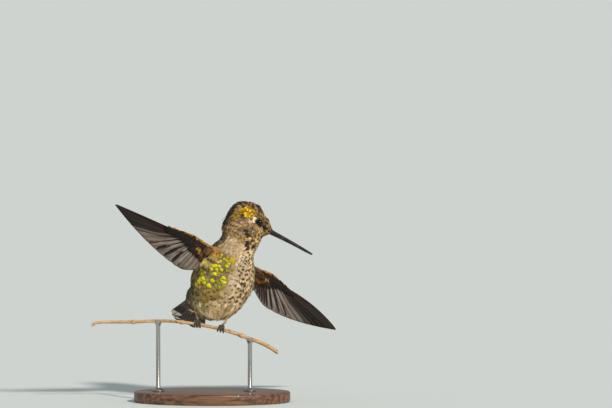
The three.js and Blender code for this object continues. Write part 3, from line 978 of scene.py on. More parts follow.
@dataclass
class Markings:
    """The female's plumage: grey buff below with dusky spots, green discs on the flanks, bronze green
    above, and a golden crown patch that catches the light."""

    anatomy: Anatomy
    buff: str = "#dec49c"
    spot: str = "#48341f"
    disc: str = "#d8d20a"
    dull_disc: str = "#9aa018"
    gold: str = "#d9b200"
    dark: str = "#1a1410"
    pale_spots: Sequence[tuple] = ((7.6, 22), (8.1, 10), (6.2, 24))  # station and angle
    blots: Sequence[tuple] = (
        (((3.1, -0.4), (3.9, -1.5)), 0.85, 1.0), (((4.0, -1.5), (5.0, -1.5)), 0.7, 1.0),
        (((5.3, -4.6), (5.7, -6.7)), 0.85, 1.0), (((7.4, -5.2), (7.6, -6.2)), 0.6, 1.0),
        (((-0.8, 3.9), (-0.4, 3.9)), 0.6, 0.9),
    )  # dark blots: the two ends of each in forward and up, its reach and its depth

    def look(self, points: Array, seed: int) -> Look:
        """Works out the feathers' looks.

        Args:
            points: The feathers' places.
            seed: The seed of their small differences.

        Returns:
            The look of each feather.
        """
        rng = np.random.default_rng(seed)
        count = len(points)
        dice, toss = rng.random(count), rng.random(count)
        station, angle, _ = self.anatomy.on_body(points)
        forward, up, out = self.anatomy.on_head(points)
        height, round_ = points[:, 2], np.abs(angle)
        head = self.anatomy.head_share(points)
        body = 1 - head
        plain = (np.tile(linear(colour)[:3], (count, 1)) for colour in (self.buff, self.spot))
        look = Look(*plain, *(np.zeros(count) for _ in range(6)))
        paint = look.paint

        # breast: dusky spots on grey buff, thickest in the middle and low down; the neck is plain
        throat = ease(station, 7.0, 5.8)
        paint(throat, "#d6bb96")
        edge = 27 - 9 * ease(height, 52, 47) + 3 * ease(height, 41, 38)
        spotted = ease(angle - edge, 6, -8) * ease(angle, -100, -84)
        spotted = spotted * ease(station, 4.9, 5.6) * ease(height, 31.5, 33.5)
        paint(spotted, self.buff, size=0.64)
        look.size *= 0.75 + 0.4 * dice
        look.size += 0.12 * spotted * ease(height, 46, 42) * ease(angle, 8, -8)
        for middle, turn in self.pale_spots:
            pale = ease(np.hypot((station - middle) / 0.34, (angle - turn) / 8), 1.2, 0.7)
            paint(pale, "#e9d5b4")
            paint(pale * (toss < 0.7), size=0.3)
        look.fringe = 0.55 - 0.35 * throat * (1 - spotted)
        # flanks: discs of yellow green over mauve buff, small at the shoulder and large below
        side = ease(round_, 26, 44) * ease(station, 5.9, 6.8) * ease(height, 36, 40)
        paint(side, "#b9a07c", "#4f4126", 0.56)
        paint(side * ease(round_ + 16 * (dice - 0.5), 62, 84), "#a5803f", "#4f431f")
        discs = (ease(angle, 33, 41) + ease(-angle, 60, 70)) * ease(round_, 112, 98)
        discs = discs * ease(station, 5.9, 6.4) * ease(height, 42.6, 43.8)
        big = ease(height, 50.5, 48.0)
        bright = discs * (toss < 0.8 - 0.1 * big) * ease(round_, 104 - 10 * big, 92 - 10 * big)
        paint(discs, "#8f7a58")
        paint(discs * (toss > 0.84), mark=self.dull_disc)
        paint(bright, None, self.disc, 0.8 - 0.14 * (1 - big), 0.4)
        paint(bright * (dice < 0.3), mark=self.dull_disc)
        yellow = ease(np.hypot((angle - 50) / 7, (station - 6.4) / 0.3), 1.2, 0.7)
        paint(0.8 * yellow, "#d4b63a", "#d4cc10")
        # lower flank: olive buff, barred
        low = ease(round_, 18, 42) * ease(height, 43.6, 42.0) * ease(height, 34.6, 37.2)
        paint(low, "#d0ac66", "#5f5020", 0.56, 0.1)
        paint(low * (toss < 0.25), mark="#8f8426")
        paint(low * (toss > 0.8), "#d8c084")
        look.fringe += 0.3 * low
        # belly, thighs and vent: unmarked whitish buff, partly their own pale colour and partly painted
        # bounce light on the underside
        sink = height - 36.8 + 1.6 * (dice - 0.5)
        belly = ease(sink, 1.2, -1.0) * ease(round_, 118, 92) * body * ease(angle, -24, -10)
        # this buff is lighter than the belly's own tone: painted bounce light
        paint(belly, "#f6dcae", size=0)
        look.fringe *= 1 - 0.8 * belly
        # under the tail: dusky feathers with pale edges
        vent = ease(station, 10.2, 11.0) * ease(round_, 122, 96)
        paint(vent, "#8d7963", "#33291f", 0.7)
        # back, from the nape to the rump: bronze green scales, duller at both ends; the rump's darker, duller
        # end is partly its own colour and partly painted shade
        # below a height of about 45 mm the back's colours reach further round the sides: painted shade from
        # the wing and tail
        turned_back = 106 - 30 * ease(height, 45.5, 42.5)
        back = ease(round_ + 22 * (dice - 0.5), turned_back - 2, turned_back + 18) * ease(station, 3.0, 4.0)
        paint(back, "#5a4d2a", "#5f6e28", 0.66, 0.4)
        paint(back * ease(station, 7.2, 6.2), "#665b48", "#3a3a28")
        # darker ground and mark at the rump: partly its own colour, partly painted shade
        rump = back * ease(station + 0.8 * (dice - 0.5), 7.8, 9.8)
        paint(rump, "#574f38", "#353d1f")
        look.gleam *= 1 - rump * 0.5
        arm = self.anatomy.on_arm(points) * ease(round_, 120, 100)
        paint(arm, "#9a7640", "#4a3720", 0.5)

        # head: fine streaks below, in buff, brown and grey
        paint(head, "#c09a66", "#4a3826", 0.45 * (toss > 0.45))
        streaky = head * ease(forward, 5.4, 4.2) * ease(up, -3.0, -1.8) * ease(up, 4.6, 3.6)
        paint(streaky * (dice < 0.28), "#a08c78")
        paint(streaky * (dice > 0.72), "#785c3c")
        olive = head * ease(np.hypot((forward - 2.2) / 2.6, (up + 4.0) / 1.3), 1.3, 0.7)
        paint(olive, "#a9904e")
        chin = head * ease(up - 0.25 * (forward - 6), 1.6, 0.2) * ease(forward, 3.6, 5.4)
        paint(chin, "#dcb87c", "#33261a", 0.72 * (toss > 0.5))
        paint(chin * (dice < 0.22), "#5a4228")
        face = head * ease(forward, 6.2, 8.0) * ease(up, 1.4, 2.6)
        paint(face, "#b89058", "#3f2c1a")
        paint(face * (dice < 0.3), "#604526")
        # crown, forehead and nape: scaly brown, with the golden patch and its trail
        crown = head * ease(up + 0.25 * forward, 4.9, 6.3)
        paint(crown, "#a07e50", "#1e160f", 0.74 - 0.08 * ease(forward, 2, 5))
        paint(crown * (dice < 0.4), "#33241a")
        front = head * ease(forward, 1.6, 4.0) * ease(up + 0.6 * forward, 6.4, 7.4)
        paint(front * (1 - 0.5 * crown), "#b78b48", "#2b1d12")
        paint(front * (dice < 0.36), "#3b2a18")
        paint(front * (toss < 0.16), mark=self.gold)
        nape = head * ease(forward - 0.1 * up + 1.2 * (dice - 0.5), -3.8, -5.4)
        paint(nape, "#453b2a", "#1d1b13", 0.66)
        hind = head * ease(forward + 0.9 * (dice - 0.5), -1.8, -3.4) * ease(np.abs(out), 3.6, 2.4)
        paint(hind * ease(up, 7.4, 5.6), "#6f6643", "#363a20")
        patch = np.hypot((forward + 0.2) / 2.5, (up - 5.6 - 0.3 * forward) / 1.9)
        patch = head * ease(patch + 0.25 * (dice - 0.5), 1.12, 0.86) * ease(np.abs(out), 2.2, 3.2)
        trail = np.abs(up - 2.9 - 1.0 * (forward + 2.6)) / 2.0
        trail = head * ease(trail + 0.4 * (dice - 0.5), 1.0, 0.5)
        trail = trail * ease(forward, -4.3, -3.4) * ease(forward, -1.0, -1.8)
        paint(trail * (1 - patch), "#a68532", "#c09a14", 0.6, 0.2)
        paint(patch, "#b78d14", self.gold, 0.95, 0.35)
        paint(patch * (toss < 0.2), "#6e5010", "#a47e04")
        # round the eye: a pale brow behind it, a dark ring and lore, a pale line under it, dark blots
        brow = np.abs(forward - 3.1 - 0.42 * (up - 4.1)) / 0.9
        brow = head * ease(brow, 1.15, 0.6) * ease(up, 2.8, 3.4) * ease(up, 5.7, 5.1)
        paint(brow, "#ffeec8", size=0)
        ring = head * ease(np.hypot(forward - 5.5, up - 4.05), 2.3, 1.7) * (1 - brow)
        paint(ring * 0.5, "#5d452c", self.dark)
        lore = head * ease(np.abs(up - 3.4 + 0.2 * (forward - 7)), 1.0, 0.65)
        paint(lore * ease(forward, 5.6, 6.2) * ease(forward, 9.0, 8.3), self.dark, self.dark)
        under = head * ease(np.abs(up - 2.2 + 0.2 * (forward - 6.5)), 0.75, 0.4)
        under = under * ease(forward, 5.0, 5.8) * ease(forward, 8.6, 7.6)
        paint(under * 0.7, "#e0bd86")
        paint(under, size=0.2)
        for line, reach, depth in self.blots:
            line = np.array(line)
            run = line[1] - line[0]
            own = np.stack([forward, up], 1) - line[0]
            own = own - np.clip(own @ run / (run @ run), 0, 1)[:, None] * run
            blot = norms(own) / reach + 0.3 * (toss - 0.5)
            paint(ease(blot, 1.15, 0.75) * depth * ease(out, 0.5, 1.5), "#3f2f20", self.dark)
        look.fringe = look.fringe * body + head * (0.6 - 0.4 * brow)

        # sizes: smallest at the bill and round the eyes
        face = ease(forward, 3.0, 8.0) * head
        throat = ease(station, 7.6, 5.4) * body
        plain_neck = throat * (1 - spotted)
        soft = ease(sink, 0.4, -0.4) * ease(round_, 118, 92) * body
        look.length = 3.7 * body + head * (2.4 - 0.95 * face) + 0.5 * streaky
        look.length -= 0.5 * throat + 0.2 * plain_neck
        look.length += 2.2 * vent * body
        look.length += 1.7 * soft
        look.length *= 0.88 + 0.24 * dice
        look.width = 2.2 * body + head * (1.3 - 0.4 * face) - 0.4 * streaky
        look.width -= 0.6 * throat + 0.5 * plain_neck
        look.width += 0.5 * vent
        look.width -= 0.75 * soft
        look.width += 0.4 * bright * big
        look.rise = 1 - 0.55 * plain_neck + 0.5 * bright
        # small differences from feather to feather
        tone = 1 + (0.4 + 0.35 * head - 0.15 * plain_neck + 0.2 * soft) * (rng.random(count) - 0.5)
        look.ground = look.ground * tone[:, None]
        fade = (0.25 * rng.random(count) ** 2)[:, None] * (look.gleam < 0.2)[:, None]
        look.mark = look.mark * (1 - fade) + look.ground * fade
        return look


@dataclass
class Fan:
    """One feather's shape: barbs that fan out from the shaft, each a closed tapering prism."""

    barbs: int
    spread: float = 1.3  # how far the outer barbs turn from the shaft, in radians
    thickness: float = 0.05
    loose: float = 0.0  # how far the barbs stray from the blade
    fill: float = 1.25  # a barb's width, as a share of its room
    seed: int = 0

    def __post_init__(self) -> None:
        """Works out the points, across from -0.5 to 0.5, along from 0 to 1 and up in millimetres."""
        rng = np.random.default_rng(self.seed)
        points, faces, tones = [], [], []
        around = ((0, 1), (1, 2), (2, 0))
        for i in range(self.barbs):
            tones += [rng.random()] * 10
            place = 2 * (i + 0.5) / self.barbs - 1
            turn = place * self.spread
            stray = self.loose * rng.uniform(-1, 1, 3)
            root = np.array([0.08 * place, 0.03 + 0.2 * (1 - abs(place))])
            tip = np.array([0.5 * math.sin(turn) / math.sin(self.spread), 0.5 + 0.5 * math.cos(turn) ** 0.8])
            tip += (0.06 * stray[0], -0.09 * rng.random() * (1 + self.loose))
            middle = root + (tip - root) * 0.62
            middle[0] *= 1.15
            near_tip = root + (tip - root) * 0.9
            room = self.fill / self.barbs
            lift = self.thickness * (0.5 * (i % 2) + 0.6 * stray[1])
            aim = unit(tip - root)
            start = len(points)
            for centre, width, rise in (
                (root, 0.3 * room, 0.0), (middle, 0.5 * room, lift), (near_tip, 0.38 * room, lift * 1.5),
            ):
                side = np.array([aim[1], -aim[0]]) * width
                points += [(*(centre - side), rise), (*(centre + side), rise)]
                points.append((*centre, rise + self.thickness))
            points.append((*tip, lift * 1.5 + self.thickness * 0.3))
            for ring in (start, start + 3):
                for one, two in around:
                    faces.append((ring + one, ring + two, ring + two + 3))
                    faces.append((ring + one, ring + two + 3, ring + one + 3))
            faces += [(start + 6 + one, start + 6 + two, start + 9) for one, two in around]
            faces.append((start, start + 2, start + 1))
        self.points, self.faces, self.tones = np.array(points), np.array(faces), np.array(tones)
        self.across, self.along, self.up = self.points.T


@dataclass
class Coat:
    """Many feathers as one joined mesh, made from arrays."""

    KINDS = {1: ("FLOAT", "value"), 3: ("FLOAT_VECTOR", "vector"), 4: ("FLOAT_COLOR", "color")}
    name: str
    points: list[Array] = field(default_factory=list)
    faces: list[Array] = field(default_factory=list)
    unwrap: list[Array] = field(default_factory=list)
    layers: dict[str, list[Array]] = field(default_factory=dict)
    count: int = 0

    def add(self, points: Array, faces: Array, unwrap: Array, **layers: Array) -> None:
        """Adds feathers of one shape.

        Args:
            points: Each feather's points.
            faces: The triangles that they share.
            unwrap: Each point's place on the unwrap.
            **layers: Each point's values for the mesh attributes of these names.
        """
        feathers, size = points.shape[:2]
        corners = points[:, faces] - points.mean(1)[:, None, None]
        volume = (corners[:, :, 0] * np.cross(corners[:, :, 1], corners[:, :, 2])).sum((1, 2))
        outwards = np.where(volume[:, None, None] < 0, faces[None, :, ::-1], faces[None])
        offsets = self.count + np.arange(feathers)[:, None, None] * size
        self.faces.append((outwards + offsets).reshape(-1, 3))
        self.points.append(points.reshape(-1, 3))
        self.unwrap.append(unwrap.reshape(-1, 2))
        for name, values in layers.items():
            self.layers.setdefault(name, []).append(values.reshape(feathers * size, -1))
        self.count += feathers * size

    def add_fans(self, fan: Fan, points: Array, homes: Array, look: Look, seeds: Array) -> None:
        """Adds feathers of a fan's shape with their looks.

        Args:
            fan: The feathers' shape.
            points: Each feather's points.
            homes: Each root's place on the unwrap.
            look: The look of each feather.
            seeds: A number from 0 to 1 for each feather.
        """
        size = len(fan.points)
        blade = np.empty((len(seeds), size, 3))
        blade[..., 0] = fan.across * 2
        blade[..., 1] = fan.along
        blade[..., 2] = seeds[:, None] * 0.6 + fan.tones * 0.4
        traits = np.stack([look.size, look.gleam, look.fringe], 1)
        values = {"traits": traits, "ground": opaque(look.ground), "mark": opaque(look.mark)}
        layers = {name: np.repeat(value[:, None], size, 1) for name, value in values.items()}
        patches = homes[:, None] + fan.points[:, :2] * TUFT
        self.add(points, fan.faces, patches, blade=blade, **layers)

    def build(self) -> Thing:
        """Makes the mesh with its attributes and its unwrap.

        Returns:
            The piece.
        """
        points, faces = np.vstack(self.points) * MM, np.vstack(self.faces)
        mesh = bpy.data.meshes.new(self.name)
        mesh.from_pydata(points.tolist(), [], faces.tolist())
        for name, parts in self.layers.items():
            values = np.vstack(parts)
            kind, key = self.KINDS[values.shape[1]]
            mesh.attributes.new(name, kind, "POINT").data.foreach_set(key, values.ravel())
        layer = mesh.uv_layers.new(name=UV_MAP)
        corner = read(mesh.loops, "vertex_index", kind=int)
        layer.data.foreach_set("uv", np.vstack(self.unwrap)[corner].ravel())
        return linked(self.name, mesh)


def opaque(colours: Array) -> Array:
    """Adds an alpha of one to colours."""
    return np.concatenate([colours, np.ones((*colours.shape[:-1], 1))], -1)


@dataclass
class Patch:
    """One piece of the body's coat: where it grows, and what its feathers are like."""

    name: str
    chosen: Array  # which of the roots are its own
    barbs: int
    slot: str = "plumage_body"
    loose: float = 0.3
    spread: float = 1.3
    thickness: float = 0.05
    fill: float = 1.2
    lift: Pair = (0.05, 0.55)  # how far root and tip stand off the skin
    full_length: float = 4.5  # a feather this long stands off by all of it
    stiff: float = 0.1


@dataclass
class Flesh:
    """The skin, and the small feathers of head, neck and body that lie over it."""

    anatomy: Anatomy
    markings: Markings
    voxel: float = 0.45
    close: float = 0.25  # how far the solids grow to close the cuts between them
    depth: float = 0.5  # how deep the coat is
    eye_gap: float = 1.9  # no feather is rooted nearer to an eye's middle
    candidates: int = 70000
    arm: str = "#2a1f16"
    nodes: Sequence[str] = ("head", "neck", "trunk", "thigh_right", "thigh_left")

    def build_skin(self, arms: Sequence[Thing]) -> Thing:
        """Melts the solids of flesh into one skin and unwraps it.

        Args:
            arms: Rods that stand for the wings' bones and muscle.

        Returns:
            The skin.
        """
        solids = copy_of(self.nodes, "skin")
        apply_modifier(solids, "DISPLACE", strength=self.close * MM, mid_level=0)
        ball = partial(bpy.ops.mesh.primitive_ico_sphere_add, subdivisions=3, radius=1.6 * MM)
        sockets = [fresh("socket", ball, location=eye * MM) for eye in self.anatomy.eyes(0.1)]
        skin = join([solids, *sockets, *arms], "skin")
        apply_modifier(skin, "REMESH", mode="VOXEL", voxel_size=self.voxel * MM, adaptivity=0)
        apply_modifier(skin, "SMOOTH", factor=0.5, iterations=5)
        apply_modifier(skin, "DISPLACE", strength=-self.close * MM, mid_level=0)
        points = read(skin.data.vertices, "co", 3) / MM
        forward, up, _ = self.anatomy.on_head(points)
        head = self.anatomy.head_share(points)
        shallow = head * (0.5 + 0.5 * ease(forward, 2.0, 6.0))
        chin = head * ease(up - 0.25 * (forward - 6), 0.8, -0.4) * ease(forward, 6.4, 8.4)
        group = skin.vertex_groups.new(name="coat_depth")
        for i, share in enumerate((1 - shallow) * (1 - chin) + chin):
            group.add([i], share, "REPLACE")
        apply_modifier(skin, "DISPLACE", strength=-self.depth * MM, mid_level=0, vertex_group=group.name)
        apply_modifier(skin, "SMOOTH", factor=0.5, iterations=3)
        skin.data.uv_layers.new(name=UV_MAP)
        edit(skin, lambda: bpy.ops.uv.smart_project(angle_limit=math.radians(66), island_margin=0.004))
        return skin

    def colour_skin(self, skin: Thing, surface: Surface) -> None:
        """Gives the skin the plumage's ground colours, mixed with those of the marks.

        Args:
            skin: The skin.
            surface: The same, as a surface.
        """
        look = self.markings.look(surface.points, seed=3)
        colours = look.ground * (1 - look.size[:, None] * 0.6) + look.mark * look.size[:, None] * 0.6
        arm = self.anatomy.on_arm(surface.points)[:, None]
        colours = colours * (1 - arm) + np.array(linear(self.arm)[:3]) * arm
        layer = skin.data.attributes.new("ground", "FLOAT_COLOR", "POINT")
        layer.data.foreach_set("color", opaque(colours).ravel())

    def spacing(self, points: Array) -> Array:
        """Gives the distance between feathers' roots, 0 at the eyes and far out on the arms.

        Args:
            points: Points on the skin.

        Returns:
            The distance at each.
        """
        head = self.anatomy.head_share(points)
        forward, _, _ = self.anatomy.on_head(points)
        station, angle, _ = self.anatomy.on_body(points)
        leg, _ = self.anatomy.on_leg(points)
        gap = 1.32 - 0.26 * ease(station, 7.6, 5.4) - 0.22 * ease(points[:, 2], 39, 36)
        shoulder = ease(station, 7.5, 7.1) * ease(station, 5.7, 6.2)
        gap -= 0.2 * shoulder * np.maximum(ease(angle, 24, 34), ease(-angle, 60, 70))
        gap -= 0.2 * leg
        gap = gap * (1 - head) + head * (0.98 - 0.3 * ease(forward, 3.0, 8.0))
        gap[self.anatomy.on_arm(points) > 0.9] = 0
        for eye in self.anatomy.eyes():
            from_eye = norms(points - eye)
            gap = np.where(from_eye < 3.4, np.minimum(gap, 0.52), gap)
            gap[from_eye < self.eye_gap] = 0
        return gap

    def lay(
        self, surface: Surface, fan: Fan, roots: Array, normals: Array, ways: Array, look: Look,
        lift: tuple[float, Array], stiff: float,
    ) -> Array:
        """Lays one shape of feather over the skin.

        Args:
            surface: The skin.
            fan: The shape.
            roots: The feathers' roots.
            normals: The skin's normals there.
            ways: The ways that the feathers lie.
            look: Their looks, for their sizes.
            lift: How far root and tip stand off the skin.
            stiff: How far they keep their way where the skin bends away, from 0 to 1.

        Returns:
            The points of each feather.
        """
        steps = 5
        line, sides, ups = [], [], []
        point, normal, way = roots, normals, ways
        step = look.length / steps
        for _ in range(steps + 1):
            line.append(point)
            ups.append(normal)
            sides.append(np.cross(way, normal))
            ahead = point + way * step[:, None]
            point, found = surface.nearest(ahead)
            free = (norms(ahead - point) > 0.55 * step)[:, None]
            outside = (((ahead - point) * found).sum(1) > 0)[:, None]
            point = np.where(free, ahead, point + (ahead - point) * stiff * outside)
            normal = np.where(free, normal, found)
            way = np.where(free, way, unit(flat_to(way, normal) * (1 - stiff) + way * stiff))
        along = np.clip(fan.along, 0, 1) * steps
        first = np.minimum(along.astype(int), steps - 1)
        share = (along - first)[None, :, None]
        parts = (np.stack(part, 1) for part in (line, sides, ups))
        middle, side, up = (part[:, first] * (1 - share) + part[:, first + 1] * share for part in parts)
        across = fan.across * look.width[:, None]
        rise = lift[0] + (lift[1] - lift[0])[:, None] * fan.along ** 0.8
        height = rise + fan.up - across**2 / 14
        return middle + side * across[..., None] + up * height[..., None]

    def build_coats(self, surface: Surface) -> list[tuple[Thing, str]]:
        """Scatters the feathers and builds them as a coat for the head and coats for the body.

        Args:
            surface: The skin.

        Returns:
            Each coat with its material slot.
        """
        roots, normals, places = surface.scatter(self.spacing, self.candidates, seed=11)
        rng = np.random.default_rng(12)
        count = len(roots)
        ways = self.anatomy.lie(roots, normals)
        turn = np.radians(rng.normal(0, 7, count))[:, None]
        ways = unit(ways * np.cos(turn) + np.cross(normals, ways) * np.sin(turn))
        # a feather shows where its tip lies, so it takes its colours from there
        length = self.markings.look(roots, seed=13).length
        tips, _ = surface.nearest(roots + ways * (0.7 * length)[:, None])
        look = self.markings.look(tips, seed=13)
        look.length = length
        leg, down = self.anatomy.on_leg(roots)
        station, angle, _ = self.anatomy.on_body(roots)
        for eye in self.anatomy.eyes():
            from_eye = norms(roots - eye)
            small = ease(from_eye, 4.4, 2.2)
            look.length = look.length * (1 - small) + small * 0.8
            look.width = look.width * (1 - small) + small * 0.6
            look.rise = look.rise + 0.9 * ease(from_eye, 3.6, 2.6)
        look.length = look.length + 1.1 * leg
        look.width = look.width * (1 - 0.35 * leg)
        head = self.anatomy.head_share(roots) > 0.5
        # how far a feather's end may stand off the skin
        room = np.where(head, 0.25, 0.6) + 0.9 * ((ways * down).sum(1) > 0.8)
        room = np.where(station > 11.4, np.where(np.abs(angle) > 90, 3.0, 1.4), room)
        sink = roots[:, 2] + rng.normal(0, 0.6, count)
        downy = ~head & (sink < 38) & (np.abs(angle) < 105) & (station < 11.2)
        front = np.abs(angle) < 75
        seeds = rng.random(count)
        forward, up, _ = self.anatomy.on_head(roots)
        raised = 0.5 * ease(forward, -4.2, -6.0) * ease(np.abs(up + 1.8), 3.6, 1.6)
        down_kind = {"loose": 1.6, "spread": 1.1, "fill": 0.7, "lift": (0.1, 0.75), "stiff": 0.3}
        head_kind = {"loose": 0.0, "thickness": 0.03, "lift": (0.02, 0.3), "full_length": 2.3}
        coats = []
        for own in (
            Patch("plumage_head", head, 9, "plumage_head", **head_kind),
            Patch("plumage_breast", ~head & ~downy & front, 15),
            Patch("plumage_back", ~head & ~downy & ~front, 13),
            Patch("plumage_belly", downy, 13, **down_kind),
        ):
            coat = Coat(own.name)
            for kind in range(3):
                mine = np.flatnonzero(own.chosen)[kind::3]
                fan = Fan(own.barbs, own.spread, own.thickness, own.loose, own.fill, 20 + kind)
                part = Look(*(getattr(look, key)[mine] for key in Look.__annotations__))
                ruffle = np.clip(rng.normal(1, 0.22, len(mine)), 0.6, 1.8)
                high = own.lift[1] * np.clip(part.length / own.full_length, 0.35, 1.2) * part.rise
                lift = (own.lift[0], (high + 0.9 * raised[mine]) * ruffle)
                for _ in range(3):
                    points = self.lay(
                        surface, fan, roots[mine], normals[mine], ways[mine], part, lift, own.stiff
                    )
                    ends = points[:, fan.along.argmax()]
                    off_skin = norms(ends - surface.nearest(ends)[0])
                    too_far = off_skin > room[mine] + lift[1]
                    part.length = np.where(too_far, 0.75 * part.length, part.length)
                coat.add_fans(fan, points, places[mine], part, seeds[mine])
            coats.append((coat.build(), own.slot))
            LOG.info("%s: %d feathers", own.name, own.chosen.sum())
        return coats


# ---- wings and tail
def slab_faces(rows: int, columns: int) -> Array:
    """Gives the triangles that close a thin slab of two grids, the upper one first.

    Args:
        rows: Points along it.
        columns: Points across it.

    Returns:
        The triangles, by point number.
    """
    grid = np.arange(rows * columns).reshape(rows, columns)
    quads = np.stack([grid[:-1, :-1], grid[1:, :-1], grid[1:, 1:], grid[:-1, 1:]], -1).reshape(-1, 4)
    under = quads[:, ::-1] + rows * columns
    rim = np.concatenate([grid[0, :-1], grid[:-1, -1], grid[-1, :0:-1], grid[:0:-1, 0]])
    after = np.roll(rim, -1)
    wall = np.stack([rim, after, after + rows * columns, rim + rows * columns], 1)
    quads = np.vstack([quads, under, wall])
    return np.vstack([quads[:, [0, 1, 2]], quads[:, [0, 2, 3]]])


@dataclass
class Quill:
    """A flight feather: a shaft with a thin vane on either side of it."""

    rows: int = 26
    thickness: float = 0.1
    shaft: Pair = (0.27, 0.08)  # its radius at the root and at the tip
    sag: float = 0.012  # how far the vanes curve down from the shaft, for each square millimetre

    def __post_init__(self) -> None:
        """Works out each row's place, from 0 at the root to 1 at the tip, and the triangles."""
        self.along = np.sin(np.linspace(0, math.pi / 2, self.rows))
        self.faces = slab_faces(self.rows, 9)

    def add_to(
        self, coat: Coat, strip: tuple[int, int], path: Array, across: Array, up: Array, lead: Array,
        trail: Array, seed: float, outer: float,
    ) -> None:
        """Builds one quill and adds it to a coat.

        Args:
            coat: The coat.
            strip: The quill's number, and how many quills share the unwrap.
            path: The shaft's points, as many as there are rows.
            across: The direction across the vane at each, towards its broad side.
            up: The direction off its upper side at each.
            lead: The narrow vane's width at each.
            trail: The broad vane's width at each.
            seed: A number from 0 to 1 that tells this quill from its neighbours.
            outer: How far out it stands, from 0 to 1.
        """
        radius = self.shaft[0] + (self.shaft[1] - self.shaft[0]) * self.along
        radius = np.minimum(radius, np.maximum(lead, 0.03) * 0.8)
        half = np.full(self.rows, self.thickness / 2)
        offsets = [-lead, -lead * 0.6, -radius - 0.06, -radius * 0.75, 0 * lead, radius * 0.75]
        offsets = np.stack([*offsets, radius + 0.06, trail * 0.58, trail], 1)
        heights = [half * 0.4, half, half, radius * 0.7 + half, radius + half, radius * 0.7 + half]
        heights = np.stack([*heights, half, half, half * 0.4], 1)
        sag = -self.sag * offsets**2
        middle = path[:, None] + across[:, None] * offsets[..., None]
        sheets = [middle + up[:, None] * (sag + side * heights)[..., None] for side in (1, -1)]
        points = np.vstack([sheet.reshape(-1, 3) for sheet in sheets])
        signed = np.where(offsets < 0, offsets / np.maximum(lead, 1e-6)[:, None], 0)
        signed = np.where(offsets > 0, offsets / np.maximum(trail, 1e-6)[:, None], signed)
        along = np.repeat(self.along[:, None], 9, 1)
        blade = np.stack([signed, along, np.full(signed.shape, seed)], -1)
        blade = np.tile(blade.reshape(-1, 3), (2, 1))
        upper = np.repeat((1.0, 0.0), self.rows * 9)
        number, count = strip
        patch = (number + 0.5 + 0.42 * blade[:, 0]) / count
        patch = np.stack([patch, 0.01 + 0.47 * blade[:, 1] + 0.5 * upper], 1)
        layers = {"blade": blade[None], "upper": upper[None], "outer": np.full((1, len(points)), outer)}
        coat.add(points[None], self.faces, patch[None], **layers)


@dataclass
class CovertRow:
    """One row of small feathers along a wing."""

    start: float  # along the wing, from the wrist
    end: float
    count: int
    inset: Pair  # how far behind the leading edge they root, at start and end
    length: Pair
    width: float
    ground: str
    mark: str
    size: float
    gleam: float
    turn: Optional[Pair]  # their slant from the span, in degrees, or None for the quills'
    lift: Pair
    barbs: int = 11
    loose: float = 0.3
    vary: float = 0.24  # how far the feathers' tones differ


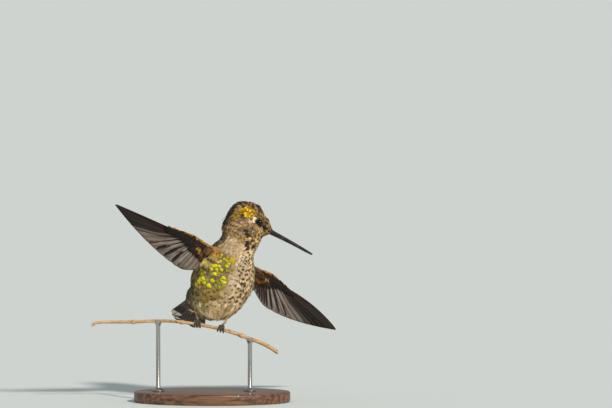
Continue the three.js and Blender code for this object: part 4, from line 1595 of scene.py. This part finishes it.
@dataclass
class Wing:
    """A spread wing: quills, and coverts above and below."""

    side: Side
    shoulder: Numbers
    wrist: Numbers
    tip: Numbers
    chord: Numbers
    handed: int
    arch: float
    bow: float
    dark_and_shade_reach: float = 1.0  # how far the outer quills' dark reaches in; beyond 0.78 it is painted shade
    fall: float = 1.6  # how far the leading edge falls back on its way to the shoulder
    camber: float = 0.011
    breadth: float = 12.6
    shingle: float = 5.0  # how far each quill is tilted over the next, in degrees
    inner_tip: float = 9.0  # where the innermost primary ends along the wing
    quill: Quill = field(default_factory=Quill)
    arm_x: Numbers = (0.2, 6.5, 13, 21, 30, 48)
    arm_y: Numbers = (1.5, 1.7, 1.6, 0.9, 0.4, 0)
    flesh_behind: Numbers = (3.4, 3.4, 3.6, 4.2, 3.8, 3.0, 1.8, 1.0, 0.5)  # the arm's middle
    flesh_before: Numbers = (1.3, 1.3, 1.2, 1.2, 1.3, 1.1, 0.8, 0.5, 0.3)
    flesh_above: Numbers = (1.6, 1.5, 1.3, 1.0, 0.8, 0.6, 0.45, 0.2, 0.1)

    def __post_init__(self) -> None:
        """Works out the wing's axes and the middle of its arm."""
        run = np.array(self.tip) - self.wrist
        self.length = float(np.linalg.norm(run))
        self.span = run / self.length
        self.back = flat_to(np.array(self.chord), self.span)
        self.dorsal = np.cross(self.back, self.span) * self.handed
        middle = (np.array(self.shoulder) + self.wrist) / 2 + self.back * 0.6
        inner, outer = (self.local(np.array(point)) for point in (self.shoulder, middle))
        hand = [(x, y, 0) for x, y in zip(self.arm_x, self.arm_y)]
        self.arm = np.array([2 * inner - outer, inner, outer, *hand])

    def local(self, point: Array) -> Array:
        """Gives a point's place in the wing: along it, behind its leading edge and above it."""
        away = point - self.wrist
        x, y, z = away @ self.span, away @ self.back, away @ self.dorsal
        return np.array([x, y, z - self.rise(x, y)])

    def rise(self, x: Array, y: Array) -> Array:
        """Gives how far the arched and cambered wing stands over its flat plane."""
        return self.arch * x * (self.length - x) - self.camber * y * y

    def place(self, x: Array, y: Array, z: Array = 0) -> Array:
        """Gives the point at this place in the wing."""
        x, y, z = (np.asarray(value, float)[..., None] for value in (x, y, z))
        return self.wrist + self.span * x + self.back * y + self.dorsal * (z + self.rise(x, y))

    def trailing_edge(self, share: float) -> float:
        """Gives the wing's breadth at a share of the way from the wrist to the tip."""
        return self.breadth * (1 - max(share, 0) ** 1.5) + 6 * max(-share, 0)

    def trim(self, path: Array, across: Array, reach: Array) -> Array:
        """Keeps a broad vane inside the wing's trailing edge, so that all their tips form one line.

        Args:
            path: The shaft's points.
            across: The direction across the vane at each.
            reach: How broad the vane would be at each.

        Returns:
            How broad it is.
        """
        trail = reach.copy()
        first = self.inner_tip - 3.6
        for _ in range(4):
            x, y, _ = np.array([self.local(point) for point in path + across * trail[:, None]]).T
            edge = np.array([self.trailing_edge(share) for share in x / self.length])
            edge = edge - np.where(x < first, 0.03 * (first - x) ** 2, 0)
            trail = np.clip(trail - (y - edge - 0.25) * 0.9, 0.03, trail)
        return trail

    def plan(self) -> list[tuple]:
        """Sets out the ten primaries and six secondaries.

        Returns:
            For each quill: its root, its tip, its width, the narrow vane's share of that, how far it
            bows forwards, and how far out it stands times the reach of its dark, which is partly painted
            shade.
        """
        rows = []
        for i in range(10):
            share = i / 9
            x = self.inner_tip + (self.length - self.inner_tip) * (1 - (1 - share) ** 1.18)
            root = (0.8 + 12.5 * share, 1.5 - 1.1 * share - 0.15 * self.bow * share)
            tip = (x, self.trailing_edge(x / self.length))
            width, lead = 4.6 * (1 - 0.22 * share), 0.36 - 0.22 * share
            rows.append((root, tip, width, lead, 0.4 + self.bow * share, self.dark_and_shade_reach * i / 9))
        for i in range(6):
            x = self.inner_tip - 3.6 - 2.0 * i
            tip = (x, self.trailing_edge(x / self.length) - 0.12 * i * i)
            rows.append(((-0.8 - 1.6 * i, 1.7 + 0.25 * i), tip, 4.4, 0.34, 0.3, 0))
        return rows

    def quills(self) -> Thing:
        """Builds the flight feathers.

        Returns:
            The piece.
        """
        rng = np.random.default_rng(41)
        coat = Coat(f"wing_{self.side.value}_quills")
        along = self.quill.along
        t = along[:, None]
        tilt = math.tan(math.radians(self.shingle))
        plan = self.plan()
        for number, (root, tip, width, lead, bow, outer) in enumerate(plan):
            root, tip = np.array(root), np.array(tip)
            forwards = unit(np.array([tip[1] - root[1], root[0] - tip[0]]))
            forwards = forwards if forwards[1] < 0 else -forwards
            middle = root + (tip - root) * 0.55 + forwards * bow
            a, b, c = (self.place(*point) for point in (root, middle, tip))
            path = a * (1 - t) ** 2 + b * 2 * t * (1 - t) + c * t**2
            tangent = unit(2 * (b - a) * (1 - t) + 2 * (c - b) * t)
            across = np.cross(self.dorsal, tangent)
            across = unit(np.where((across @ self.back)[:, None] < 0, -across, across))
            up = np.cross(across, tangent)
            up = np.where((up @ self.dorsal)[:, None] < 0, -up, up)
            across, up = unit(across - up * tilt), unit(up + across * tilt)
            reach = np.interp(along, (0, 0.31, 0.59, 0.81, 0.95), (0.2, 0.55, 0.64, 0.64, 0.6)) * width
            reach = reach * np.sqrt(np.maximum(1 - np.clip((along - 0.93) / 0.07, 0, 1) ** 2, 0.0004))
            trail = self.trim(path, across, reach * 1.5)
            strip = (number, len(plan))
            self.quill.add_to(coat, strip, path, across, up, reach * lead, trail, rng.random(), outer)
        return coat.build()

    def thickness_at(self, x: Array, y: Array) -> tuple[Array, Array]:
        """Finds the arm's flesh at places in the wing.

        Args:
            x: How far along the wing each place lies.
            y: How far behind the leading edge.

        Returns:
            The height of the arm's middle, and how far the flesh reaches off it.
        """
        middle = [np.interp(x, self.arm[:, 0], self.arm[:, i]) for i in (1, 2)]
        sizes = (self.flesh_behind, self.flesh_before, self.flesh_above)
        behind, before, half = (np.interp(x, self.arm[:, 0], size) for size in sizes)
        off = y - middle[0]
        off = np.where(off > 0, off / behind, off / before)
        bulge = half * np.sqrt(np.clip(1 - off**2, 0, 1))
        return middle[1] * ease(off, 2.6, 0.8), bulge

    def slant(self, x: Array) -> Array:
        """Gives how far the quills at a place are turned from the span, in radians."""
        places = (-12, -9, 0.8, 2, 3.3, 7, 13, 20, 48)
        return np.radians(np.interp(x, places, (72, 63, 53, 41, 32, 16, 6, 2, 0)))

    def coverts(self, name: str, rows: Sequence[CovertRow], face: int, seed: int) -> Thing:
        """Lays rows of small feathers on one face of the wing.

        Args:
            name: The piece's name.
            rows: The rows, the one that lies lowest first.
            face: 1 for the upper face and -1 for the lower.
            seed: The seed of their small differences.

        Returns:
            The piece.
        """
        rng = np.random.default_rng(seed)
        coat = Coat(name)
        for number, row in enumerate(rows):
            count, (near, far), (short, long) = row.count, row.inset, row.length
            share = (np.arange(count) + 0.5) / count
            flat = np.ones(count)
            fan = Fan(row.barbs, 1.2, 0.04, row.loose, fill=1.3, seed=seed + number)
            x = row.start + (row.end - row.start) * share + rng.normal(0, 0.12, count)
            y = near + (far - near) * share + rng.normal(0, 0.15, count)
            y = y - 0.2 * self.bow * ease(x, 2, 16) + self.fall * ease(-x, -5, 8)
            length = short + (long - short) * share
            length = length * (0.9 + 0.2 * rng.random(count))
            turn = self.slant(x)
            if row.turn:
                turn = np.radians(row.turn[0] + (row.turn[1] - row.turn[0]) * share)
            turn = (turn + rng.normal(0, 0.06, count))[:, None]
            out = fan.along * length[:, None]
            across = fan.across * row.width
            px = x[:, None] + out * np.cos(turn) - across * np.sin(turn)
            py = y[:, None] + out * np.sin(turn) + across * np.cos(turn)
            middle, bulge = self.thickness_at(px, py)
            lift = row.lift[0] + (row.lift[1] - row.lift[0]) * fan.along ** 0.8
            over = bulge + lift + fan.up + rng.random((count, 1)) * 0.05
            points = self.place(px, py, middle + face * over)
            tone = (1 + row.vary * (rng.random(count) - 0.5))[:, None]
            tones = (np.tile(linear(colour)[:3], (count, 1)) * tone for colour in (row.ground, row.mark))
            look = Look(*tones, flat * row.size, flat * row.gleam, flat * 0.5, length, flat, flat)
            homes = np.stack([0.02 + 0.96 * share, np.full(count, 0.05 + 0.09 * number)], 1)
            coat.add_fans(fan, points, homes, look, rng.random(count))
        return coat.build()

    def flesh(self) -> Thing:
        """Builds the arm and the hand as a thin rod that the skin is melted from."""
        points = [self.arm[1] * (1.25, 1, 1), *self.arm[1:6]]
        line = smooth_path([self.place(*point) for point in points], 8)
        return drawn(f"arm_{self.side.value}", line, (1.9, 1.8, 1.6, 1.25, 0.95, 0.7), 16, 24)


def covert_rows(*rows: tuple, **shared: Any) -> tuple[CovertRow, ...]:
    """Makes rows from their values in the order of CovertRow's fields, and from those they share."""
    return tuple(CovertRow(*row, **shared) for row in rows)


# under the wing, dark but for the last two: the wrist's rusty tuft, and a golden leading edge that is painted
# backlight
BELOW = covert_rows(
    # the near-black of these five rows is partly the coverts' own dusky colour and partly painted shade under
    # the wing
    (-10.5, 1, 12, (2.6, 1.8), (4.2, 4.4), 2, "#33281f", "#1d1611", 0.5, 0, None, (0.2, 0.36)),
    (0.6, 17, 22, (1.3, 0.9), (4.6, 3), 1.6, "#1f1712", "#120e0b", 0.5, 0, None, (0.2, 0.26)),
    (-11, 16, 34, (1, 0.7), (3.4, 2.2), 1.5, "#1d1611", "#110d0a", 0.5, 0, None, (0.16, 0.26)),
    (-11, 14.5, 38, (0.3, 0.5), (2.6, 1.7), 1.3, "#201711", "#120e0b", 0.45, 0, None, (0.14, 0.26)),
    (-11, 13.5, 44, (-0.6, 0.2), (2.2, 1.5), 1.3, "#281b11", "#150f0a", 0.4, 0, None, (0.1, 0.22)),
    (-5.5, 0.2, 12, (3.6, 1.9), (2.6, 2.2), 0.8, "#96682a", "#2c1e10", 0.5, 0, None, (0.4, 0.7), 11, 0.8, 1),
    # golden row: painted backlight along the leading edge
    (
        -11.5, 15, 130, (-1.05, 0), (1.7, 1.3), 0.4, "#cf9138", "#93632a", 0.3, 0,
        (14, 3), (0.04, 0.16), 7, 0.1,
    ),
)
# over the wing: bronze green, with a golden leading edge that is painted backlight
ABOVE = covert_rows(
    (-10.5, 1, 12, (3, 2.2), (6, 6.4), 2.2, "#57503f", "#3d3a2a", 0.5, 0, None, (0.1, 0.34)),
    (0.6, 22, 26, (1.9, 0.9), (7.4, 4.4), 1.9, "#403a33", "#2b2622", 0.5, 0, None, (0.1, 0.26)),
    (-11, 18, 32, (1.4, 0.8), (4.8, 3.2), 1.8, "#544a30", "#566a24", 0.62, 0.5, None, (0.16, 0.28)),
    (-11, 16, 36, (0.5, 0.6), (3.6, 2.4), 1.5, "#544a30", "#5d7326", 0.66, 0.6, None, (0.14, 0.28)),
    (-11, 14.5, 42, (-0.3, 0.4), (2.6, 1.8), 1.2, "#5a4d2f", "#65772a", 0.66, 0.6, None, (0.1, 0.24)),
    # golden row: painted backlight along the leading edge
    (
        -11.5, 15, 110, (-0.9, 0.1), (2, 1.6), 0.5, "#c08438", "#75602a", 0.4, 0.1,
        (14, 3), (0.04, 0.16), 7, 0.1,
    ),
)
# the hairy feathers of the wing pit
AXILLARS = covert_rows(
    (-8.5, -2.6, 15, (1.2, 2), (5, 4.8), 0.8, "#54391d", "#1d140d", 0.5, 0, (72, 56), (0.4, 0.7)),
    (-8.5, -3.2, 15, (-0.8, 0.2), (4.4, 4), 0.8, "#6a4721", "#1d140d", 0.5, 0, (74, 54), (0.4, 0.8)),
    barbs=9, loose=0.8, vary=1.6,
)
# the edge of the flank under the wing
FLANKS = covert_rows(
    (
        -12, -5.2, 12, (3.2, 4.4), (4.2, 4.4), 1.7, "#b29a70", "#4f4126", 0.55, 0,
        (94, 70), (0.6, 1), 13, 0.4, 0.6,
    ),
    (
        -12.4, -5.8, 12, (1.7, 2.6), (4, 4), 1.5, "#b29a70", "#a9a312", 0.55, 0.3,
        (94, 68), (0.7, 1.1), 13, 0.4, 0.7,
    ),
    (
        -12, -6.4, 12, (0.3, 1.2), (3.8, 3.6), 1.3, "#b7945a", "#4f4126", 0.5, 0,
        (92, 66), (0.7, 1.1), 13, 0.5, 0.8,
    ),
    (
        -12.2, -7.2, 11, (-1.2, -0.2), (3.6, 3.2), 1.1, "#bf9148", "#7d7416", 0.5, 0.2,
        (90, 62), (0.6, 1), 13, 0.6, 0.8,
    ),
    (
        -12, -7.8, 10, (-2.4, -1.4), (3.2, 2.8), 0.9, "#c08c42", "#5c4226", 0.45, 0,
        (88, 58), (0.3, 0.8), 11, 0.7, 0.8,
    ),
)
# the shoulder, over the wing's root
SCAPULARS = covert_rows(
    (-13.5, -5.5, 10, (2, 2.6), (7, 6), 2.4, "#524727", "#586c22", 0.68, 0.5, (94, 72), (0.4, 0.9)),
    (-13.5, -5.5, 10, (0.4, 0.8), (5.8, 5), 2.3, "#524727", "#5f7526", 0.7, 0.6, (96, 74), (0.4, 1.1)),
    (-13.5, -6.5, 9, (-1, -0.6), (4.8, 4), 2.2, "#564a29", "#63782a", 0.7, 0.6, (94, 72), (0.3, 0.9)),
    barbs=13, loose=0.4,
)


@dataclass
class Tail:
    """Ten tail quills, half spread."""

    root: Numbers = (-4.8, 10.4, 38)
    direction: Numbers = (-0.21, 0.9, -0.39)
    across: Numbers = (-0.87, -0.15, 0.46)
    lengths: Numbers = (27.0, 27.2, 26.6, 24.4, 20.9)
    spread: Numbers = (0.8, 2.1, 3.4, 4.7, 6)
    gap: float = 0.5
    width: float = 4.6
    quill: Quill = field(default_factory=lambda: Quill(shaft=(0.24, 0.08), thickness=0.12))

    def build(self) -> Thing:
        """Builds the quills, the middle pair on top.

        Returns:
            The piece.
        """
        along = unit(np.array(self.direction))
        across = flat_to(np.array(self.across), along)
        dorsal = np.cross(along, across)
        dorsal = dorsal if dorsal[2] > 0 else -dorsal
        rng = np.random.default_rng(51)
        coat = Coat("tail_quills")
        t = self.quill.along
        rows = (len(t), 1)
        reach = np.interp(t, (0, 0.4, 0.8, 0.93), (0.5, 0.8, 1.0, 0.98)) * self.width * 0.5
        reach = reach * np.sqrt(np.maximum(1 - np.clip((t - 0.88) / 0.12, 0, 1) ** 2, 0.0004))
        pairs = [(outwards * across, i) for outwards in (1, -1) for i in range(len(self.lengths))]
        for number, (outwards, i) in enumerate(pairs):
            angle = math.radians(self.spread[i])
            root = np.array(self.root) + outwards * self.gap * (i + 0.5) - dorsal * 0.16 * i
            way = unit(along * math.cos(angle) + outwards * math.sin(angle) - dorsal * 0.012 * i)
            path = root + way * t[:, None] * self.lengths[i] + outwards * (0.9 * t**2)[:, None] * (i / 4)
            inwards = np.tile(flat_to(-outwards - dorsal * 0.05, way), rows)
            up = np.tile(flat_to(dorsal, way), rows)
            strip = (number, len(pairs))
            self.quill.add_to(coat, strip, path, inwards, up, reach * 0.85, reach * 1.05, rng.random(), i / 4)
        return coat.build()


# ---- eyes, bill and feet
@dataclass
class Face:
    """The eyes with their lids, and the bill."""

    anatomy: Anatomy
    eye_radius: float = 1.62
    eye_inset: float = 0.35  # how far the left eye lies deeper, where the neck turns
    eye_axis: Numbers = (0.28, 0.06, 1)  # the way it looks: forward, up and out
    lid_radius: float = 1.36
    lid_thickness: float = 0.14
    lid_out: float = 0.88
    bill_line: Sequence[tuple] = ((8.0, 2.28), (10.1, 2.35), (19.1, 2.47), (28.2, 2.3))  # forward and up
    bill_radii: Numbers = (1.05, 0.98, 0.86, 0.78, 0.7, 0.64, 0.58, 0.5, 0.34)
    overhang: float = 0.2  # how far the upper half reaches past the lower
    gape: float = 0.1
    gape_at: Pair = (19.0, 2.4)

    def build_eye(self, side: Side) -> tuple[Thing, Thing]:
        """Builds one eye.

        Args:
            side: The bird's side.

        Returns:
            The eyeball and the ring of its lids.
        """
        sign = 1 if side is Side.RIGHT else -1
        centre = self.anatomy.eyes(0 if side is Side.RIGHT else self.eye_inset)[0 if sign > 0 else 1]
        forward, up, out = self.eye_axis
        axis = unit(self.anatomy.in_head(forward, up, out * sign) - self.anatomy.in_head(0, 0))
        turn = Vector(axis).to_track_quat("Z", "Y").to_euler()
        ball = fresh(
            f"eyeball_{side.value}", bpy.ops.mesh.primitive_uv_sphere_add, segments=48, ring_count=32,
            radius=self.eye_radius * MM, location=centre * MM, rotation=turn,
        )
        lid = fresh(
            f"lids_{side.value}", bpy.ops.mesh.primitive_torus_add, major_radius=self.lid_radius * MM,
            minor_radius=self.lid_thickness * MM, major_segments=56, minor_segments=14,
            location=(centre + axis * self.lid_out) * MM, rotation=turn,
        )
        return ball, lid

    def build_bill(self) -> list[Thing]:
        """Builds the closed bill and parts its halves along the gape.

        Returns:
            The upper half and the lower.
        """
        halves = []
        level = Vector(self.anatomy.head_axes[1])
        (*rows, (end, end_up)), (ahead, above) = self.bill_line, self.gape_at
        for name, sign in (("bill_top", 1), ("bill_bottom", -1)):
            tip = (end - (sign < 0) * self.overhang, end_up)
            line = smooth_path([self.anatomy.in_head(*row) for row in (*rows, tip)], 14)
            bill = drawn(name, line, self.bill_radii, 28, 44)
            cut = partial(
                bpy.ops.mesh.bisect,
                plane_co=Vector(self.anatomy.in_head(ahead, above + sign * self.gape / 2)) * MM,
                plane_no=level, use_fill=True, threshold=1e-7, clear_inner=sign > 0, clear_outer=sign < 0,
            )
            edit(bill, cut)
            apply_modifier(bill, "BEVEL", width=0.05 * MM, segments=2, limit_method="ANGLE", angle_limit=0.7)
            halves.append(bill)
        return halves


@dataclass
class Stem:
    """The thin dry stem that the bird sits on."""

    radius: float = 0.62
    points: Sequence[Numbers] = (
        (-44.5, -1.4, 28.5), (-41.8, -0.6, 29.6), (-30.4, 0.3, 29.7), (-17, 0.2, 30.1), (-7.1, 0, 29.1),
        (1.4, 0, 27.5), (7.6, 0, 25.8), (13.8, 0.2, 23.6), (19.9, 0.4, 21.1), (24.4, 0.2, 18.3),
    )
    buds: Numbers = (0.22, 0.47, 0.79)  # along the stem, from 0 to 1
    bud_height: float = 0.26
    bud_length: float = 0.012
    rings: int = 241

    def __post_init__(self) -> None:
        """Works out the stem's line."""
        self.line = smooth_path(self.points, 14)

    def at(self, x: float) -> tuple[Array, Array]:
        """Gives the stem's middle and direction where it passes this x."""
        centre = np.array([np.interp(x, self.line[:, 0], self.line[:, i]) for i in range(3)])
        i = int(np.clip(np.searchsorted(self.line[:, 0], x), 1, len(self.line) - 1))
        return centre, unit(self.line[i] - self.line[i - 1])

    def build(self) -> Thing:
        """Draws the stem with its swollen nodes and marks its cut ends.

        Returns:
            The piece.
        """
        share = np.linspace(0, 1, self.rings)
        rng = np.random.default_rng(61)
        radius = self.radius * (0.85 + 0.3 * share)
        for bud in self.buds:
            radius = radius + self.bud_height * np.exp(-(((share - bud) / self.bud_length) ** 2))
        radius = radius + np.interp(share, np.linspace(0, 1, 60), rng.normal(0, 0.02, 60))
        stem = drawn("stem", self.line, radius, 20, self.rings)
        faces = stem.data.polygons
        centres, normals = read(faces, "center", 3) / MM, read(faces, "normal", 3)
        cut = np.zeros(len(faces), bool)
        for end, other in ((0, 1), (-1, -2)):
            way = unit(self.line[end] - self.line[other])
            cut |= (norms(centres - self.line[end]) < 1.2) & (normals @ way > 0.6)
        stem.data.attributes.new("cut", "FLOAT", "FACE").data.foreach_set("value", cut.astype(np.float32))
        return stem


@dataclass
class Leg:
    """One short leg, with the toes round the stem."""

    side: Side
    stem: Stem
    hip: Numbers
    heel: Numbers
    foot: float  # where along X it grips the stem
    shank_radii: Numbers = (0.5, 0.46, 0.42, 0.4, 0.44, 0.5)
    pad_radii: Numbers = (0.3, 0.42, 0.42, 0.3)
    pad_reach: float = 0.95
    toe_radius: float = 0.34
    toe_spacing: float = 0.66
    splay: float = 0.42
    wrap: Numbers = (8, 42, 78, 112, 140)
    claw_radii: Numbers = (0.2375, 0.225, 0.18, 0.125, 0.07, 0.025)
    claw_wrap: Numbers = (126, 140, 152, 162)
    claw_lift: Numbers = (0, 0.1, 0.22, 0.36)
    claw_drift: Numbers = (0.95, 1.1, 1.2, 1.25)

    def ring(self, x: float, way: int, angle: float, distance: float, drift: float) -> Array:
        """Gives a point off the stem.

        Args:
            x: Where along X the stem is gripped.
            way: 1 to go down behind the stem, -1 before it.
            angle: How far round the stem, from its top, in degrees.
            distance: How far from the stem's middle.
            drift: How far along the stem from x.

        Returns:
            The point.
        """
        centre, along = self.stem.at(x)
        above = flat_to(np.array((0.0, 0, 1)), along)
        outward = flat_to(np.array((0.0, way, 0)), along)
        turn = math.radians(angle)
        return centre + (above * math.cos(turn) + outward * math.sin(turn)) * distance + along * drift

    def build(self) -> tuple[Thing, Thing]:
        """Builds the leg.

        Returns:
            Shank, pad and toes as one piece, and the claws as another.
        """
        side = self.side.value
        centre, along = self.stem.at(self.foot)
        ankle = centre + flat_to(np.array((0.0, 0, 1)), along) * (self.stem.radius + 0.54)
        knee = (np.array(self.hip) + self.heel) / 2 + (0, -0.3, -0.2)
        start = np.array(self.heel) + (knee - self.heel) * 0.35
        shank = drawn(f"foot_{side}", smooth_path([start, self.heel, ankle], 10), self.shank_radii, 14, 26)
        rise = read(shank.data.vertices, "co", 3)[:, 2] / MM - ankle[2]
        upper = shank.data.attributes.new("shank", "FLOAT", "POINT")
        upper.data.foreach_set("value", ease(rise, 0.1, 0.9 * (self.heel[2] - ankle[2])))
        pad_line = np.array([ankle - along * self.pad_reach, ankle + along * self.pad_reach])
        parts, claws = [shank, drawn("pad", pad_line, self.pad_radii, 12, 10)], []
        reach = self.stem.radius + self.toe_radius + 0.22
        shares = np.linspace(0, 1, len(self.wrap))
        waves = 1 + 0.1 * np.cos(np.linspace(0, math.tau * 4, 33))
        radii = self.toe_radius * waves * np.linspace(1.0, 0.88, 33)
        hook = list(zip(self.claw_wrap, self.claw_lift, self.claw_drift))
        grips = [(self.foot + step * self.toe_spacing, -1, step * self.splay) for step in (-1, 0, 1)]
        for x, way, splay in (*grips, (self.foot, 1, 0)):
            line = [self.ring(x, way, angle, reach, splay * share) for angle, share in zip(self.wrap, shares)]
            parts.append(drawn("toe", smooth_path(line, 10), radii, 12, 33))
            line = [self.ring(x, way, angle, reach + lift, splay * drift) for angle, lift, drift in hook]
            claws.append(drawn("claw", smooth_path(line, 8), self.claw_radii, 12, 16))
        return join(parts, f"foot_{side}"), join(claws, f"claws_{side}")


@dataclass
class Stand:
    """An oval wooden base with two steel rods that carry the stem."""

    stem: Stem
    length: float = 58
    depth: float = 40
    height: float = 4
    bevel: float = 0.7
    rods: Numbers = (-20, 14)
    rod_radius: float = 0.8
    cup_radius: float = 1.35
    cup_height: float = 1.7
    collar_radius: float = 2.3
    collar_height: float = 1.1

    def build_base(self) -> Thing:
        """Builds the base and rounds its edges.

        Returns:
            The piece.
        """
        base = fresh(
            "base", bpy.ops.mesh.primitive_cylinder_add, vertices=144, radius=0.5 * MM,
            depth=self.height * MM, location=(0, 0, self.height / 2 * MM),
            scale=(self.length, self.depth, 1),
        )
        edges = {"limit_method": "ANGLE", "angle_limit": 0.8}
        apply_modifier(base, "BEVEL", width=self.bevel * MM, segments=5, **edges)
        return base

    def build_rod(self, number: int) -> Thing:
        """Builds one rod with its collar and its cup.

        Args:
            number: Which rod, from 0.

        Returns:
            The piece.
        """
        x = self.rods[number]
        top, _ = self.stem.at(x)
        foot, rise, thick = self.height - 0.02, self.collar_height, self.rod_radius
        collar, cup, middle, deep = self.collar_radius, self.cup_radius, top[2], self.cup_height
        under = middle - deep
        profile = [
            (collar * 0.94, foot), (collar, foot + 0.12),
            (collar, foot + rise * 0.55), (collar * 0.9, foot + rise * 0.72),
            (collar * 0.6, foot + rise), (thick * 1.25, foot + rise * 1.15),
            (thick, foot + rise * 1.5), (thick, under - 0.4), (thick * 1.1, under),
            (cup * 0.92, middle - deep * 0.5), (cup, middle - deep * 0.36), (cup, middle + 0.12),
            (cup * 0.93, middle + 0.22),
        ]
        rod = turned(f"rod_{number + 1}", profile, 40)
        rod.location = (x * MM, top[1] * MM, 0)
        settle(rod)
        return rod


@dataclass
class Studio:
    """A pale floor, soft light and the camera."""

    target: Numbers = (34.8, 0, 73.5)
    distance: float = 3000
    elevation: float = 3
    lens: float = 476.5
    paper: str = "#d5dcdd"
    floor_size: float = 24  # in metres, as the lens sees far behind the model
    sun: Numbers = (-0.42, 0.75, -0.55)  # the way that its light goes
    sun_energy: float = 3.3
    sun_colour: Numbers = (1.0, 0.93, 0.83)
    sun_angle: float = 5
    sky_strength: float = 0.55

    def build(self) -> None:
        """Makes the floor, the lights and the camera."""
        floor = fresh("floor", bpy.ops.mesh.primitive_plane_add, size=self.floor_size)
        floor.data.materials.append(StudioPaper("studio_paper", roughness=0.9, tone=self.paper).material())
        sun = linked("key_light", bpy.data.lights.new("key_light", "SUN"))
        sun.data.energy = self.sun_energy
        sun.data.angle = math.radians(self.sun_angle)
        sun.data.color = self.sun_colour
        sun.rotation_euler = Vector(self.sun).to_track_quat("-Z", "Y").to_euler()
        scene = bpy.context.scene
        world = bpy.data.worlds.new("soft_room")
        world.use_nodes = True
        sky = world.node_tree.nodes["Background"]
        sky.inputs["Color"].default_value = linear(self.paper)
        sky.inputs["Strength"].default_value = self.sky_strength
        scene.world = world
        rise = math.radians(self.elevation)
        aim = Vector(self.target) * MM
        data = bpy.data.cameras.new("camera")
        data.lens, data.sensor_width, data.clip_start, data.clip_end = self.lens, 36, 0.01, 60
        camera = linked("camera", data)
        camera.location = aim + Vector((0, -math.cos(rise), math.sin(rise))) * self.distance * MM
        camera.rotation_euler = (aim - camera.location).to_track_quat("-Z", "Y").to_euler()
        scene.camera = camera
        scene.view_settings.view_transform = "Standard"


# ---- the whole
@dataclass
class Hummingbird:
    """The model, put together from its sub-assemblies."""

    anatomy: Anatomy = field(default_factory=Anatomy)
    stem: Stem = field(default_factory=Stem)
    feet: Numbers = (-5.4, 3.3)  # where along X the right and the left foot grip
    flank_hidden: float = 2.4  # how much earlier the left flank's rows end, behind the breast

    def wings(self) -> list[Wing]:
        """Gives the two wings, the right one seen from below and the left one reaching away."""
        wrists = self.anatomy.wrists
        right = Wing(
            side=Side.RIGHT, shoulder=(2.3, -7.6, 54.4), wrist=wrists[0],
            tip=(-34.6, -48.2, 75.8), chord=(-0.45, 0.05, -0.89), handed=1, arch=0.0, bow=-0.4, dark_and_shade_reach=0.78,
        )
        # the left wing keeps the full reach of dark, which paints shade over its outer quills
        left = Wing(
            side=Side.LEFT, shoulder=(11.6, 3.0, 46.4), wrist=wrists[1], tip=(46.0, 45, 23.9),
            chord=(-0.34, -0.37, -0.86), handed=-1, arch=0.0018, bow=2.6, fall=2.6,
        )
        return [right, left]

    def build_plumage(self) -> None:
        """Builds the skin, the wings, the tail and the small feathers, and dresses them."""
        feathers = ContourFeather("contour_feathers", roughness=0.72, specular=0.2).material()
        down = DownySkin("downy_skin", roughness=0.85).material()
        vanes = FlightVane("wing_quills", roughness=0.55, specular=0.15).material()
        tail_vanes = TailVane("tail_quills", roughness=0.5, specular=0.2).material()
        wings = self.wings()
        flesh = Flesh(self.anatomy, Markings(self.anatomy))
        skin = flesh.build_skin([wing.flesh() for wing in wings])
        surface = Surface(skin)
        flesh.colour_skin(skin, surface)
        arms = [f"wing_{wing.side.value}_arm" for wing in wings]
        dress(skin, down, "plumage_body", (*flesh.nodes, *arms), 180)
        for coat, slot in flesh.build_coats(surface):
            dress(coat, feathers, slot)
        for wing in wings:
            side = wing.side.value
            hidden = self.flank_hidden if wing.side is Side.LEFT else 0
            flanks = [replace(row, end=row.end - hidden) for row in FLANKS]
            dress(wing.quills(), vanes, "flight_feathers", (f"wing_{side}_hand",))
            for name, rows, face, seed, slot in (
                ("coverts_below", BELOW, -1, 71, "wing_coverts"),
                ("coverts_above", ABOVE, 1, 72, "wing_coverts"),
                ("axillars", AXILLARS, -1, 73, "plumage_body"),
                ("flank_edge", flanks, -1, 75, "plumage_body"),
                ("scapulars", SCAPULARS, 1, 74, "plumage_body"),
            ):
                dress(wing.coverts(f"{name}_{side}", rows, face, seed), feathers, slot)
        dress(Tail().build(), tail_vanes, "tail_feathers", ("tail",))

    def build_bare_parts(self) -> None:
        """Builds eyes, bill and feet, and dresses them."""
        horn = Horn("bill_horn", roughness=0.34).material()
        hide = ScaledSkin("scaled_skin", roughness=0.6).material()
        wet = WetCornea("wet_cornea", roughness=0.07, ior=1.38).material()
        face = Face(self.anatomy)
        for side in Side:
            ball, lid = face.build_eye(side)
            dress(ball, wet, "eye", (f"eye_{side.value}",), 180)
            dress(lid, hide, "foot_skin", (), 180)
        for piece, node in zip(face.build_bill(), ("bill_upper", "bill_lower")):
            dress(piece, horn, "bill", (node,))
        for side, (hip, heel), grip in zip(Side, self.anatomy.legs, self.feet):
            foot, claws = Leg(side, self.stem, hip, heel, grip).build()
            toes = [f"toe_{side.value}_{i}" for i in range(1, 5)]
            dress(foot, hide, "foot_skin", (f"tarsus_{side.value}", *toes))
            dress(claws, horn, "bill", [f"claw_{side.value}_{i}" for i in range(1, 5)])

    def build_support(self) -> None:
        """Builds the stem and the stand, and dresses them."""
        bark = DryBark("dry_bark", roughness=0.8).material()
        walnut = OiledWalnut("oiled_walnut", roughness=0.42, coat=0.1).material()
        steel = BrushedSteel("brushed_steel", metallic=1.0).material()
        stand = Stand(self.stem)
        dress(self.stem.build(), bark, "stem", ("perch",))
        dress(stand.build_base(), walnut, "stand_wood", ("stand_base",), 40)
        for number in range(len(stand.rods)):
            dress(stand.build_rod(number), steel, "stand_steel", (f"stand_rod_{number + 1}",), 40)


def main() -> None:
    """Builds the model and its studio."""
    logging.basicConfig(level=logging.INFO, format="%(message)s")
    bird = Hummingbird()
    bird.build_support()
    bird.build_bare_parts()
    bird.build_plumage()
    Studio().build()


if __name__ == "__main__":
    main()
